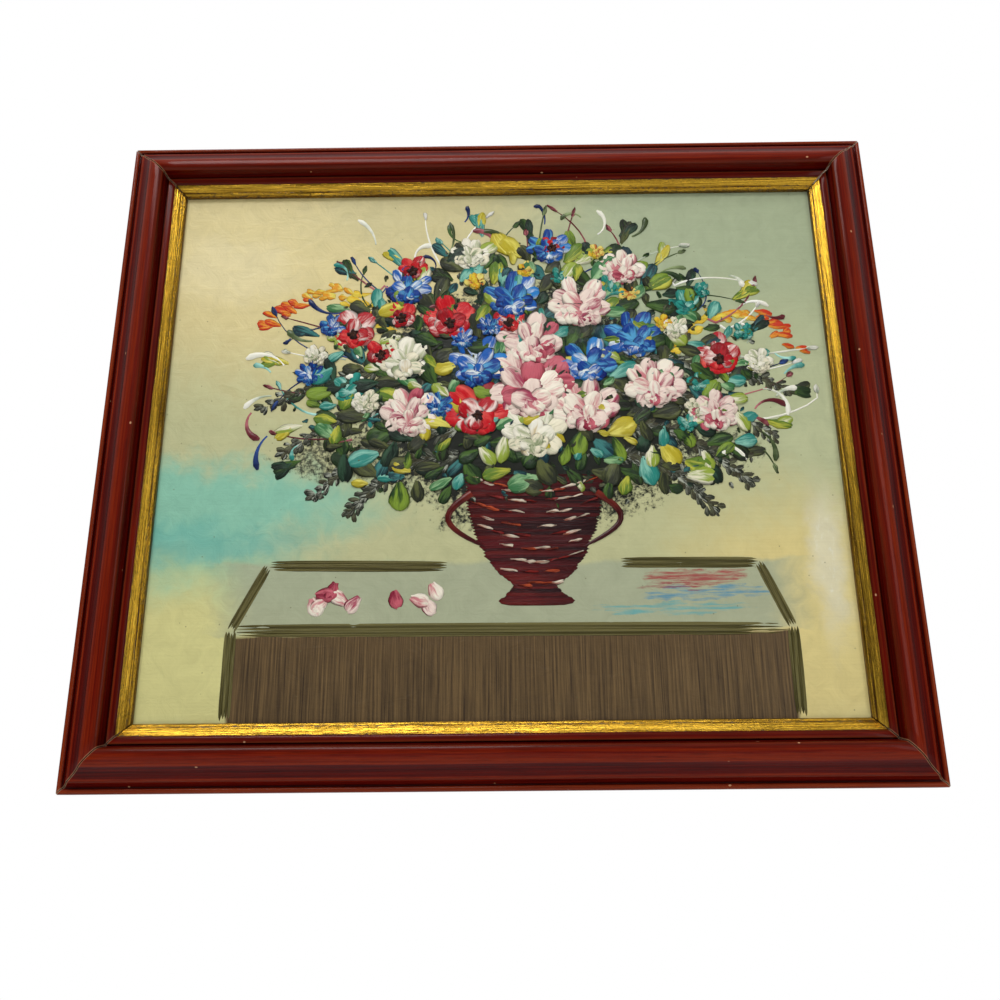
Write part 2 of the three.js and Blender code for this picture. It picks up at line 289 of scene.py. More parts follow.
def slab(
    rows: int, columns: int, front: Callable[[float, float], Point], back: float
) -> tuple[list[Point], list[tuple[int, ...]], list[int]]:
    """Makes a closed slab: a grid in front, plain edges and one flat face behind.

    Args:
        rows: Rows of faces up the front.
        columns: Columns of faces across it.
        front: Gives the front's point at a share across and a share up.
        back: Place of the flat back along Y.

    Returns:
        The points; the faces, the front's first; and for each point the front point that it stands behind.
    """
    width = columns + 1
    points = [front(j / columns, i / rows) for i in range(rows + 1) for j in range(width)]
    faces = [(i * width + j, i * width + j + 1, (i + 1) * width + j + 1, (i + 1) * width + j)
             for i in range(rows) for j in range(columns)]
    edge = [*range(width), *(i * width + columns for i in range(1, rows + 1))]
    edge += [rows * width + j for j in range(columns - 1, -1, -1)]
    edge += [i * width for i in range(rows - 1, 0, -1)]
    low, count = len(points), len(edge)
    points += [(points[k][0], back, points[k][2]) for k in edge]
    faces += [(edge[k], edge[(k + 1) % count], low + (k + 1) % count, low + k) for k in range(count)]
    faces.append(tuple(range(low, low + count)))
    return points, faces, [*range(low), *edge]


def put(mesh: bpy.types.Mesh, slot: str, *nodes: str) -> None:
    """Makes a finished mesh a piece of the object.

    Args:
        mesh: Mesh whose vertices are already in place.
        slot: Name of a material slot of the record; not used.
        *nodes: CAD nodes that the piece stands for.
    """
    piece = bpy.data.objects.new(mesh.name, mesh)
    bpy.context.scene.collection.objects.link(piece)
    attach(piece, BODY)
    if nodes:
        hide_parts(*nodes)
    log.info("%s: %d faces", piece.name, len(mesh.polygons))


def carry_floats(mesh: bpy.types.Mesh, **named: list[float]) -> None:
    """Stores one number for each vertex under each name."""
    for name, values in named.items():
        mesh.attributes.new(name, "FLOAT", "POINT").data.foreach_set("value", np.array(values, np.float32))


def carry_vectors(mesh: bpy.types.Mesh, **named: list[Point]) -> None:
    """Stores one vector for each vertex under each name."""
    for name, values in named.items():
        flat = np.array(values, np.float32).ravel()
        mesh.attributes.new(name, "FLOAT_VECTOR", "POINT").data.foreach_set("vector", flat)


def carry_paint(mesh: bpy.types.Mesh, pairs: list[Pair]) -> None:
    """Stores each vertex's two paint colours as linear colour."""
    for name, values in zip(("paint_a", "paint_b"), zip(*pairs)):
        flat = np.array([linear(value) for value in values], np.float32).ravel()
        mesh.attributes.new(name, "FLOAT_COLOR", "POINT").data.foreach_set("color", flat)


class Zone(Enum):
    """What a stretch of the moulding's section shows."""

    STAINED = 0.0
    GILT = 1.0
    RAW = 2.0


@dataclass(frozen=True)
class StainedWood:
    """Pale hardwood moulding, stained mahogany red and lacquered.

    The stain sinks into the pores as fine dark streaks along the grain, gathers in the hollows and rubs off
    the arrises; the thin lacquer gives a soft gloss with bright lines on the bead and the crest. The colour
    also carries a tone laid across the section, mostly painted light and shade, partly stain gathered low:
    painted highlights on the bead, the ledge and the crest, and painted shade on the outer flank, the inner
    steep side and the quirk.
    """

    dark: str = "#3a0201"
    middle: str = "#600d03"
    pale: str = "#80260a"
    pore: str = "#200101"
    rubbed: str = "#96481f"
    bare: str = "#d3a077"
    streak_mm: float = 1.2
    pore_mm: float = 0.3
    run_mm: float = 70.0
    chip_mm: float = 13.0
    stops: tuple[float, float, float] = (0.3, 0.55, 0.82)
    streak_share: float = 0.86
    stain_and_shading_share: float = 0.4
    stain_and_shading_shift: float = -0.05
    pore_cover: Ramp = (0.5, 0.72, 0.0, 0.7)
    hollow_cover: Ramp = (0.0, -1.0, 0.0, 0.8)
    arris_wear: Ramp = (0.15, 1.0, 0.0, 0.5)
    chip_cover: Ramp = (0.03, 0.055, 0.75, 0.0)
    mitre_cover: Ramp = (0.15 * MM, 0.45 * MM, 0.8, 0.0)
    gloss: Ramp = (0.3, 0.7, 0.2, 0.34)
    pore_bump: tuple[float, float] = (0.3, 0.1)
    streak_bump: tuple[float, float] = (0.2, 0.15)
    specular: float = 0.05
    coat: float = 0.12
    coat_roughness: float = 0.1
    next_rail: float = 9.0

    def build(self) -> bpy.types.Material:
        """Builds the material from the rail's own grain, relief, mitre and stain-and-shading tone attributes.
        """
        wood = Finish("mahogany_stained_hardwood")
        grain = wood.attribute("grain", "Vector")
        relief, mitre, stain = (wood.attribute(name) for name in ("relief", "mitre", "stain"))
        run, chip = 1 / (self.run_mm * MM), 1 / (self.chip_mm * MM)
        along_streaks = wood.scaled(grain, run, 1 / (self.streak_mm * MM), self.next_rail)
        along_pores = wood.scaled(grain, 5 * run, 1 / (self.pore_mm * MM), self.next_rail)
        streaks = wood.noise(along_streaks, 5.0, 0.62)
        pores = wood.noise(along_pores, 3.0)
        chips = wood.cells(wood.scaled(grain, chip, 1.4 * chip, self.next_rail))
        # Painted light and shade: the section's tone lightens the bead, ledge and crest and darkens the
        # flank, steep side and quirk, partly as gathered stain.
        lightness = wood.math("MULTIPLY_ADD", stain, self.stain_and_shading_share, self.stain_and_shading_shift)
        level = wood.math("MULTIPLY_ADD", streaks, self.streak_share, lightness)
        tone = wood.add("ShaderNodeValToRGB", {0: level})
        ramp = tone.color_ramp.elements
        ramp.new(self.stops[1])
        for stop, place, colour in zip(ramp, self.stops, (self.dark, self.middle, self.pale)):
            stop.position, stop.color = place, linear(colour)
        worn = wood.math("MULTIPLY", wood.between(relief, *self.arris_wear), streaks)
        line = wood.math("MULTIPLY", wood.between(mitre, *self.mitre_cover), streaks)
        colour = tone.outputs[0]
        for share, over in (
            (wood.between(pores, *self.pore_cover), self.pore),
            (wood.between(relief, *self.hollow_cover), self.pore),
            (worn, self.rubbed),
            (wood.between(chips, *self.chip_cover), self.bare),
            (line, self.bare),
        ):
            colour = wood.blend(share, colour, over)
        return wood.done({
            "Base Color": colour,
            "Roughness": wood.between(pores, *self.gloss),
            "Normal": wood.bump(streaks, *self.streak_bump, wood.bump(pores, *self.pore_bump)),
            "Specular IOR Level": self.specular,
            "Coat Weight": self.coat,
            "Coat Roughness": self.coat_roughness,
        })


@dataclass(frozen=True)
class GiltFoil:
    """Imitation-gold foil pressed on the sight edge.

    Bright yellow metal with fine streaks along the rail, with a painted highlight along its crown and painted
    shade darker along both its edges, and brown specks and scratches where it has worn through, more of them
    towards the darker edges.
    """

    bright: str = "#e4b63e"
    deep: str = "#5c3806"
    worn: str = "#2a1806"
    streak_mm: float = 0.5
    speck_mm: float = 0.9
    run_mm: float = 34.0
    crown_highlight_share: float = 0.3
    edge_wear_and_shade: float = -0.2
    tone: Ramp = (0.5, 0.9, 0.0, 1.0)
    wear: Ramp = (0.41, 0.56, 0.0, 0.85)
    metal: Ramp = (0.0, 0.9, 1.0, 0.15)
    gloss: Ramp = (0.3, 0.7, 0.12, 0.3)
    streak_bump: tuple[float, float] = (0.9, 0.35)
    speck_bump: tuple[float, float] = (0.6, 0.15)
    next_rail: float = 7.0

    def build(self) -> bpy.types.Material:
        """Builds the material from the rail's own grain attribute and its tone, here a painted highlight on
        the crown.
        """
        gilt = Finish("gilt_foil")
        grain, crown_highlight = gilt.attribute("grain", "Vector"), gilt.attribute("stain")
        run, streak, speck = (1 / (size * MM) for size in (self.run_mm, self.streak_mm, self.speck_mm))
        streaks = gilt.noise(gilt.scaled(grain, run, streak, self.next_rail), 4.0)
        specks = gilt.noise(gilt.scaled(grain, 0.35 * speck, speck, self.next_rail), 6.0, 0.7)
        # Painted highlight: the section's tone brightens the foil's crown and leaves its edges darker as
        # painted shade; the worn specks are pushed towards those darker edges.
        painted_shine = gilt.math("MULTIPLY_ADD", crown_highlight, self.crown_highlight_share, streaks)
        edge_wear_level = gilt.math("MULTIPLY_ADD", crown_highlight, self.edge_wear_and_shade, specks)
        wear = gilt.between(edge_wear_level, *self.wear)
        foil = gilt.blend(gilt.between(painted_shine, *self.tone), self.deep, self.bright)
        return gilt.done({
            "Base Color": gilt.blend(wear, foil, self.worn),
            "Metallic": gilt.between(wear, *self.metal),
            "Roughness": gilt.between(streaks, *self.gloss),
            "Normal": gilt.bump(specks, *self.speck_bump, gilt.bump(streaks, *self.streak_bump)),
        })


@dataclass(frozen=True)
class RawWood:
    """The moulding's unstained back, rebate and mitre faces: planed pale hardwood, dry and open-grained."""

    pale: str = "#c8a878"
    dark: str = "#a17b4e"
    streak_mm: float = 1.4
    run_mm: float = 40.0
    tone: Ramp = (0.32, 0.66, 0.0, 1.0)
    roughness: float = 0.78
    streak_bump: tuple[float, float] = (0.4, 0.15)
    next_rail: float = 5.0

    def build(self) -> bpy.types.Material:
        """Builds the material from the rail's own grain attribute."""
        wood = Finish("raw_pale_hardwood")
        run, streak = 1 / (self.run_mm * MM), 1 / (self.streak_mm * MM)
        along = wood.scaled(wood.attribute("grain", "Vector"), run, streak, self.next_rail)
        streaks = wood.noise(along, 6.0, 0.65)
        return wood.done({
            "Base Color": wood.blend(wood.between(streaks, *self.tone), self.dark, self.pale),
            "Roughness": self.roughness,
            "Normal": wood.bump(streaks, *self.streak_bump),
        })


@dataclass(frozen=True)
class BroadArea:
    """One broad, soft-edged patch of ground colour, in millimetres from the picture's middle."""

    across: float
    up: float
    half_width: float
    half_height: float
    colour: str
    softness: float = 0.7
    strength: float = 1.0
    wobble: float = 10.0
    square: bool = False
    broken: bool = False
    grain: tuple[float, float] = (1.0, 1.0)
    density: float = 1.0


@dataclass(frozen=True)
class OilGround:
    """Thin oil ground brushed and knifed on smooth board.

    Broad patches run into each other with soft brushed edges; the sheen is low and even, with faint bristle
    lines and fine dark specks, and the chest's front shows strong upright bristle marks.
    """

    middle: Vector
    base: str = "#b9b98c"
    speck: str = "#5c5a3c"
    front_pale: str = "#715a39"
    front_dark: str = "#35281a"
    bristle_mm: float = 0.8
    run_mm: float = 45.0
    drift_scale: float = 0.045
    cloud_scale: float = 0.11
    grit_scale: float = 0.16
    crumb_scale: float = 0.55
    wobble_reach: float = 2.5
    knife_slant: float = 0.55
    knife_spacing: Point = (0.018, 0.018, 0.05)
    front_top: float = -87.0
    front_left: float = -112.0
    front_right: float = 121.0
    front_edge: float = 1.5
    front_wobble: Point = (5.0, 5.0, 5.0)
    front_tone: Ramp = (0.32, 0.66, 0.0, 1.0)
    bristle_tone: Ramp = (0.25, 0.75, 0.965, 1.03)
    cloud_tone: Ramp = (0.3, 0.7, 0.92, 1.06)
    grit: Ramp = (0.03, 0.06, 0.6, 0.0)
    ridge: Ramp = (0.03, 0.0, 0.0, 1.0)
    ridge_reach: Ramp = (0.5, 0.6, 0.0, 1.0)
    crumb_edge: tuple[float, float] = (0.95, 1.12)
    bristle_bump: tuple[float, float] = (0.25, 0.15)
    ridge_bump: tuple[float, float] = (0.3, 0.14)
    cloud_bump: tuple[float, float] = (0.35, 1.2)
    roughness: float = 0.42
    specular: float = 0.25
    streaky: tuple[float, float] = (0.2, 1.0)
    dragged: tuple[float, float] = (0.12, 1.6)
    areas: tuple[BroadArea, ...] = (
        BroadArea(-95, 95, 125, 75, "#d3c48c", 0.8),
        BroadArea(-30, 112, 60, 24, "#bfb684", 0.9, 0.7),
        BroadArea(-125, 84, 34, 18, "#ddd0a0", 0.9, 0.7),
        BroadArea(120, 90, 115, 90, "#a2ad8c", 0.8),
        BroadArea(128, 15, 60, 60, "#b4ba92", 0.8, 0.8),
        BroadArea(-140, -30, 92, 22, "#86bda4", 0.8, 1.0, 16, grain=streaky),
        BroadArea(-150, -52, 70, 14, "#6cb2a2", 0.8, 0.85, 14, grain=streaky),
        BroadArea(-120, -68, 74, 12, "#a5c69c", 0.9, 0.8, 14, grain=streaky),
        BroadArea(-128, -100, 70, 36, "#cfca8a", 0.7),
        BroadArea(130, -85, 65, 60, "#d6c685", 0.8),
        BroadArea(4, -72, 122, 15, "#a3a98c", 0.2, 0.95, 3, square=True),
        BroadArea(15, 16, 88, 66, "#12160d", 1.0, 1.0, 12, broken=True),
        BroadArea(-68, -8, 44, 17, "#1d2117", 1.0, 0.9, 14, broken=True, density=0.62),
        BroadArea(96, -10, 42, 17, "#1d2117", 1.0, 0.9, 14, broken=True, density=0.62),
        BroadArea(82, -64, 28, 5, "#9c2a34", 0.6, 0.85, 4, broken=True, grain=dragged, density=0.66),
        BroadArea(86, -71, 36, 4.5, "#3a86a8", 0.6, 0.8, 4, broken=True, grain=dragged, density=0.66),
        BroadArea(72, -78, 40, 4, "#56a3a6", 0.6, 0.8, 4, broken=True, grain=dragged, density=0.66),
        BroadArea(74, -67.5, 22, 3, "#8c2f3e", 0.6, 0.85, 4, broken=True, grain=dragged, density=0.58),
        BroadArea(139, -58, 9, 34, "#dcdccc", 1.0, 0.5, 9),
        BroadArea(139, -54, 10, 36, "#e6e6d8", 1.0, 0.6, 9, broken=True, grain=(0.9, 0.4), density=0.7),
    )

    def build(self) -> bpy.types.Material:
        """Builds the ground from object coordinates centred on the picture."""
        ground = Finish("oil_ground_on_board")
        from_middle = ground.vector("SUBTRACT", ground.object_place(), self.middle)
        flat = ground.scaled(from_middle, 1 / MM, 0.0, 1 / MM)
        fine, long = 1 / self.bristle_mm, 1 / self.run_mm
        drift = ground.noise(flat, 5.0, scale=self.drift_scale)
        shift = ground.vector("SUBTRACT", drift.node.outputs["Color"], (0.5, 0.5, 0.5))
        bristles = ground.noise(ground.scaled(flat, long, 0.0, fine), 4.0)
        strands = ground.noise(ground.scaled(flat, fine, 0.0, long), 4.0, 0.65)
        cloud = ground.noise(flat, 6.0, 0.65, self.cloud_scale, distortion=0.8)
        colour = ground.add("ShaderNodeRGB").outputs[0]
        colour.default_value = linear(self.base)
        for area in self.areas:
            colour = self.laid_over(ground, colour, area, flat, shift, cloud)
        front = self.front_mask(ground, flat, shift)
        strand_tone = ground.between(strands, *self.front_tone)
        front_colour = ground.blend(strand_tone, self.front_dark, self.front_pale)
        colour = ground.blend(front, colour, front_colour)
        uneven = ground.math("MULTIPLY", ground.between(bristles, *self.bristle_tone),
                             ground.between(cloud, *self.cloud_tone))
        colour = ground.vector("MULTIPLY", colour, uneven)
        grit = ground.between(ground.cells(flat, self.grit_scale), *self.grit)
        lines = ground.add("ShaderNodeMix", {0: front, 2: bristles, 3: strands}, data_type="FLOAT")
        slanted = ground.add("ShaderNodeMapping", {0: flat, "Rotation": (0.0, self.knife_slant, 0.0),
                                                   "Scale": self.knife_spacing}).outputs[0]
        ridge = ground.between(ground.cells(slanted, feature="DISTANCE_TO_EDGE"), *self.ridge)
        some_ridges = ground.math("MULTIPLY", ridge, ground.between(drift, *self.ridge_reach))
        brushed = ground.bump(lines.outputs[0], *self.bristle_bump)
        ridged = ground.bump(some_ridges, *self.ridge_bump, brushed)
        return ground.done({
            "Base Color": ground.blend(grit, colour, self.speck),
            "Normal": ground.bump(cloud, *self.cloud_bump, ridged),
            "Roughness": self.roughness,
            "Specular IOR Level": self.specular,
        })

    def laid_over(
        self, ground: Bench, under: Socket, area: BroadArea, flat: Socket, shift: Socket, cloud: Socket
    ) -> Socket:
        """Lays one broad patch over the colour so far.

        Args:
            ground: Material being built.
            under: Colour that the patch covers.
            area: Patch to lay.
            flat: Place in millimetres from the picture's middle.
            shift: Soft noise that makes the patch's edge wander.
            cloud: Finer noise that breaks the patch's edge.

        Returns:
            The colour with the patch.
        """
        moved = ground.vector("MULTIPLY_ADD", shift, (area.wobble * self.wobble_reach,) * 3, flat)
        from_middle = ground.vector("SUBTRACT", moved, (area.across, 0, area.up))
        reach = ground.scaled(from_middle, 1 / area.half_width, 0, 1 / area.half_height)
        if area.square:
            sides = ground.parts(ground.vector("ABSOLUTE", reach))
            reach = ground.math("MAXIMUM", sides[0], sides[2])
        else:
            reach = ground.vector("LENGTH", reach)
        soft = area.softness
        ragged = ground.math("MULTIPLY_ADD", cloud, 0.5 * soft, reach)
        outside, inside = 1.0 + 0.6 * soft, 1.0 - 0.4 * soft
        cover = ground.between(ragged, outside, inside, 0.0, area.strength, smooth=True)
        if area.broken:
            grain = ground.scaled(flat, area.grain[0], 1.0, area.grain[1])
            crumbs = ground.noise(grain, 5.0, 0.7, self.crumb_scale)
            edge = ground.math("MULTIPLY_ADD", cover, area.density, crumbs)
            cover = ground.between(edge, *self.crumb_edge, 0.0, area.strength)
        return ground.blend(cover, under, area.colour)

    def front_mask(self, ground: Bench, flat: Socket, shift: Socket) -> Socket:
        """Gives the mask of the painted chest's front.

        Args:
            ground: Material being built.
            flat: Place in millimetres from the picture's middle.
            shift: Soft noise that makes the edge wander.

        Returns:
            1 on the chest's front and 0 off it.
        """
        across, _, up = ground.parts(ground.vector("MULTIPLY_ADD", shift, self.front_wobble, flat))
        right = ground.between(across, self.front_right, self.front_right - self.front_edge)
        left = ground.between(across, self.front_left, self.front_left + self.front_edge)
        below = ground.between(up, self.front_top, self.front_top - self.front_edge)
        return ground.math("MULTIPLY", ground.math("MULTIPLY", right, left), below)


@dataclass(frozen=True)
class KnifePaint:
    """Thick oil paint pressed on with a palette knife.

    Two half-mixed colours marble along each stroke, its sides are darkened, partly as dark paint picked up
    and partly as painted shade along the stroke's edge, and the wet-looking surface has fine drag lines.
    """

    drag_across: float = 1.9
    drag_along: float = 0.55
    finer: Point = (5.0, 1.6, 1.0)
    slant: float = 0.12
    drag_share: float = 0.22
    mixing: tuple[float, float] = (0.38, 0.66)
    rim: tuple[float, float] = (0.7, 1.0)
    dark_rim: Ramp = (0.4, 0.56, 0.0, 0.8)
    drag_bump: tuple[float, float] = (0.9, 0.6)
    rim_paint_and_shade: str = "#1d2218"
    roughness: float = 0.25
    specular: float = 0.22

    def build(self) -> bpy.types.Material:
        """Builds the material from each stroke's two colours and its own place attribute."""
        paint = Finish("palette_knife_oil_paint")
        first, second = (paint.attribute(name, "Color") for name in ("paint_a", "paint_b"))
        dab, seed = paint.attribute("dab", "Vector"), paint.attribute("seed")
        apart = paint.joined(seed, seed, seed)
        place = paint.vector("MULTIPLY_ADD", dab, (self.drag_across, self.drag_along, 1.0), apart)
        marble = paint.noise(place, 3.0, 0.55, distortion=0.35)
        drag = paint.noise(paint.scaled(place, *self.finer), 3.0)
        across, along, _ = paint.parts(dab)
        sideways = paint.math("MULTIPLY_ADD", across, self.slant, marble)
        slanted = paint.math("MULTIPLY_ADD", along, -self.slant, sideways)
        mixed = paint.math("MULTIPLY_ADD", drag, self.drag_share, slanted)
        share = paint.between(mixed, *self.mixing, smooth=True)
        # Dark rim along the stroke's sides: partly dark paint picked up, partly painted shade at the stroke's
        # edge.
        rim = paint.between(paint.math("ABSOLUTE", across), *self.rim)
        dark_rim_share = paint.math("MULTIPLY", rim, paint.between(marble, *self.dark_rim))
        return paint.done({
            "Base Color": paint.blend(dark_rim_share, paint.blend(share, first, second), self.rim_paint_and_shade),
            "Normal": paint.bump(drag, *self.drag_bump),
            "Roughness": self.roughness,
            "Specular IOR Level": self.specular,
        })


@dataclass(frozen=True)
class Hardboard:
    """Pressed brown fibreboard, seen from behind: a woven screen imprint, dry and slightly mottled."""

    fibre: str = "#7b5737"
    dark: str = "#5a3c24"
    screen_mm: float = 1.2
    mottle_scale: float = 0.12 / MM
    waves_to_scale: float = 0.314
    tone: Ramp = (0.3, 0.7, 0.0, 1.0)
    screen_bump: tuple[float, float] = (0.5, 0.2)
    roughness: float = 0.8

    def build(self) -> bpy.types.Material:
        """Builds the material from object coordinates."""
        board = Finish("hardboard_screen_back")
        place = board.object_place()
        mottle = board.noise(place, 8.0, 0.7, self.mottle_scale)
        inputs = {"Vector": place, "Scale": self.waves_to_scale / (self.screen_mm * MM)}
        wires = [board.add("ShaderNodeTexWave", inputs, bands_direction=axis).outputs["Fac"] for axis in "XZ"]
        return board.done({
            "Base Color": board.blend(board.between(mottle, *self.tone), self.dark, self.fibre),
            "Normal": board.bump(board.math("MULTIPLY", *wires), *self.screen_bump),
            "Roughness": self.roughness,
        })


@dataclass(frozen=True)
class PlatedSteel:
    """Rolled and stamped steel under a thin plating: fine scratches and a soft, uneven gloss."""

    name: str
    plating: str
    dulled: str
    scratch_mm: float = 0.25
    patch_scale: float = 0.35 / MM
    patches: Ramp = (0.42, 0.66, 0.0, 0.8)
    gloss: Ramp = (0.3, 0.7, 0.28, 0.5)
    scratch_bump: tuple[float, float] = (0.25, 0.05)

    def build(self) -> bpy.types.Material:
        """Builds the material from object coordinates."""
        steel = Finish(self.name)
        place = steel.object_place()
        fine = 1 / (self.scratch_mm * MM)
        scratches = steel.noise(steel.scaled(place, 0.06 * fine, fine, fine), 3.0)
        patches = steel.noise(place, 5.0, scale=self.patch_scale)
        return steel.done({
            "Base Color": steel.blend(steel.between(patches, *self.patches), self.plating, self.dulled),
            "Roughness": steel.between(patches, *self.gloss),
            "Normal": steel.bump(scratches, *self.scratch_bump),
            "Metallic": 1.0,
        })


@dataclass(frozen=True)
class SectionPoint:
    """One point of the moulding's section, in millimetres from the outer side and from the flat back."""

    inward: float
    height: float
    zone: Zone


@dataclass
class MouldingSection:
    """The moulding's section, from the same members as the CAD rails, with every arris eased a little."""

    side_height: float = 11.0
    bead_width: float = 2.3
    bead_steps: int = 14
    cove: tuple[float, float] = (2.3, 3.1)
    ledge: tuple[float, float] = (0.9, 0.3)
    flank: tuple[float, float] = (4.8, 3.8)
    crest: tuple[float, float] = (8.1, 2.0)
    quirk: tuple[float, float] = (0.5, 0.7)
    fillet_height: float = 3.7
    fillet: tuple[float, float] = (2.8, -0.5)
    gilt_step: float = 0.35
    gilt: tuple[float, float] = (3.7, -1.9)
    nose: tuple[float, float] = (1.6, -1.1)
    lip: float = 1.5
    rebate_width: float = 5.0
    spacing: float = 0.26
    eased_from: float = 2.0
    # Tone along the section by distance inward, mostly painted light and shade, partly stain gathered low:
    # painted highlights on the bead, ledge, crest and gilt crown, painted shade on the flanks and the quirk.
    stain: tuple[tuple[float, float], ...] = (
        (0.0, 0.3), (1.2, 0.8), (2.3, 0.3), (4.6, 0.2), (5.3, 0.95), (6.0, 0.2), (10.0, 0.08),
        (10.5, 1.0), (12.0, 0.8), (14.8, 0.6), (16.2, 0.12), (18.9, 0.0), (19.6, 0.4), (21.3, 0.15),
        (21.8, 0.0), (22.4, 0.7), (24.0, 1.0), (25.1, 0.65), (25.5, 0.15), (26.1, 0.8), (27.0, 0.2),
    )
    trail: list[SectionPoint] = field(default_factory=list)

    def line_by(self, across: float, up: float, zone: Zone) -> None:
        """Draws a straight member of a width and a rise."""
        self.curve_by(across, up, 0.5, 0.5, zone)

    def curve_by(self, across: float, up: float, bend_across: float, bend_up: float, zone: Zone) -> None:
        """Draws a member as a quadratic curve.

        Args:
            across: Its width.
            up: Its rise.
            bend_across: Control point's place, as a share of the width.
            bend_up: Control point's place, as a share of the rise.
            zone: What it shows.
        """
        start = self.trail[-1]
        count = max(1, round(math.hypot(across, up) / self.spacing))
        for t in (i / count for i in range(1, count + 1)):
            bend, end = 2 * t * (1 - t), t * t
            self.trail.append(SectionPoint(start.inward + across * (bend * bend_across + end),
                                           start.height + up * (bend * bend_up + end), zone))

    def outline(self) -> list[SectionPoint]:
        """Walks round the section from the outer back corner.

        Returns:
            Points of the closed outline, without the first repeated.
        """
        stained, gilt, raw = Zone.STAINED, Zone.GILT, Zone.RAW
        self.trail = [SectionPoint(0.0, 0.0, stained)]
        self.line_by(0, self.side_height, stained)
        radius = self.bead_width / 2
        for i in range(1, self.bead_steps + 1):
            turn = math.pi * (1 - i / self.bead_steps)
            self.trail.append(SectionPoint(radius + radius * math.cos(turn),
                                           self.side_height + radius * math.sin(turn), stained))
        self.curve_by(*self.cove, 0.6, 0.25, stained)
        self.line_by(*self.ledge, stained)
        self.curve_by(*self.flank, 0.6, 0.3, stained)
        width, rise = self.crest
        self.curve_by(width * 0.55, rise, 0.4, 0.95, stained)
        self.curve_by(width * 0.33, -rise * 0.7, 0.85, 0.05, stained)
        floor = self.side_height + self.fillet_height - self.quirk[1]
        self.line_by(width * 0.12, floor - self.trail[-1].height, stained)
        self.line_by(self.quirk[0], 0, stained)
        self.line_by(0, self.quirk[1], stained)
        self.curve_by(*self.fillet, 0.5, 0, stained)
        self.line_by(0, -self.gilt_step, stained)
        self.curve_by(*self.gilt, 0.55, 0.35, gilt)
        self.curve_by(*self.nose, 0.8, 0.25, gilt)
        self.line_by(0, -self.lip, gilt)
        self.line_by(-self.rebate_width, 0, raw)
        self.line_by(0, -self.trail[-1].height, raw)
        self.line_by(-self.trail[-1].inward, 0, raw)
        return self.eased(self.trail[:-1])

    def eased(self, points: list[SectionPoint]) -> list[SectionPoint]:
        """Rounds the arrises of the show faces by sliding each point towards its neighbours."""
        for _ in range(2):
            soft = list(points)
            for i in range(2, len(points) - 1):
                before, here, after = points[i - 1 : i + 2]
                if here.zone is not Zone.RAW and after.zone is not Zone.RAW and here.height > self.eased_from:
                    soft[i] = SectionPoint(before.inward / 4 + here.inward / 2 + after.inward / 4,
                                           before.height / 4 + here.height / 2 + after.height / 4, here.zone)
            points = soft
        return points

    def relief(self, points: list[SectionPoint]) -> list[float]:
        """Measures how far each point stands out of its surroundings.

        Args:
            points: Outline of the section.

        Returns:
            One number for each point: 1 on an arris, -1 in a sharp hollow, 0 on the flat.
        """
        reach = 4
        sharpest = math.radians(55)
        found = []
        for i, here in enumerate(points):
            before, after = points[i - reach], points[(i + reach) % len(points)]
            first = math.atan2(here.height - before.height, here.inward - before.inward)
            second = math.atan2(after.height - here.height, after.inward - here.inward)
            turn = (first - second + math.pi) % (2 * math.pi) - math.pi
            found.append(max(-1.0, min(1.0, turn / sharpest)))
        return found

    def mesh(self, name: str) -> bpy.types.Mesh:
        """Makes the outline a closed loop of edges that carries its own measures.

        Args:
            name: Mesh's name.

        Returns:
            The loop, in metres, in the XY plane.
        """
        points = self.outline()
        loop = bpy.data.meshes.new(name)
        loop.from_pydata([(p.height * MM, p.inward * MM, 0) for p in points],
                         [(i, (i + 1) % len(points)) for i in range(len(points))], [])
        steps = [math.hypot(b.inward - a.inward, b.height - a.height) for a, b in zip(points, points[1:])]
        inward = [p.inward for p in points]
        # The tone carried here is painted light and shade across the section, partly standing for gathered
        # stain.
        carry_floats(loop, height=[p.height * MM for p in points], inward=[x * MM for x in inward],
                     zone=[p.zone.value for p in points], relief=self.relief(points),
                     stain=np.interp(inward, *zip(*self.stain)), girth=np.cumsum([0.0, *steps]) * MM)
        return loop


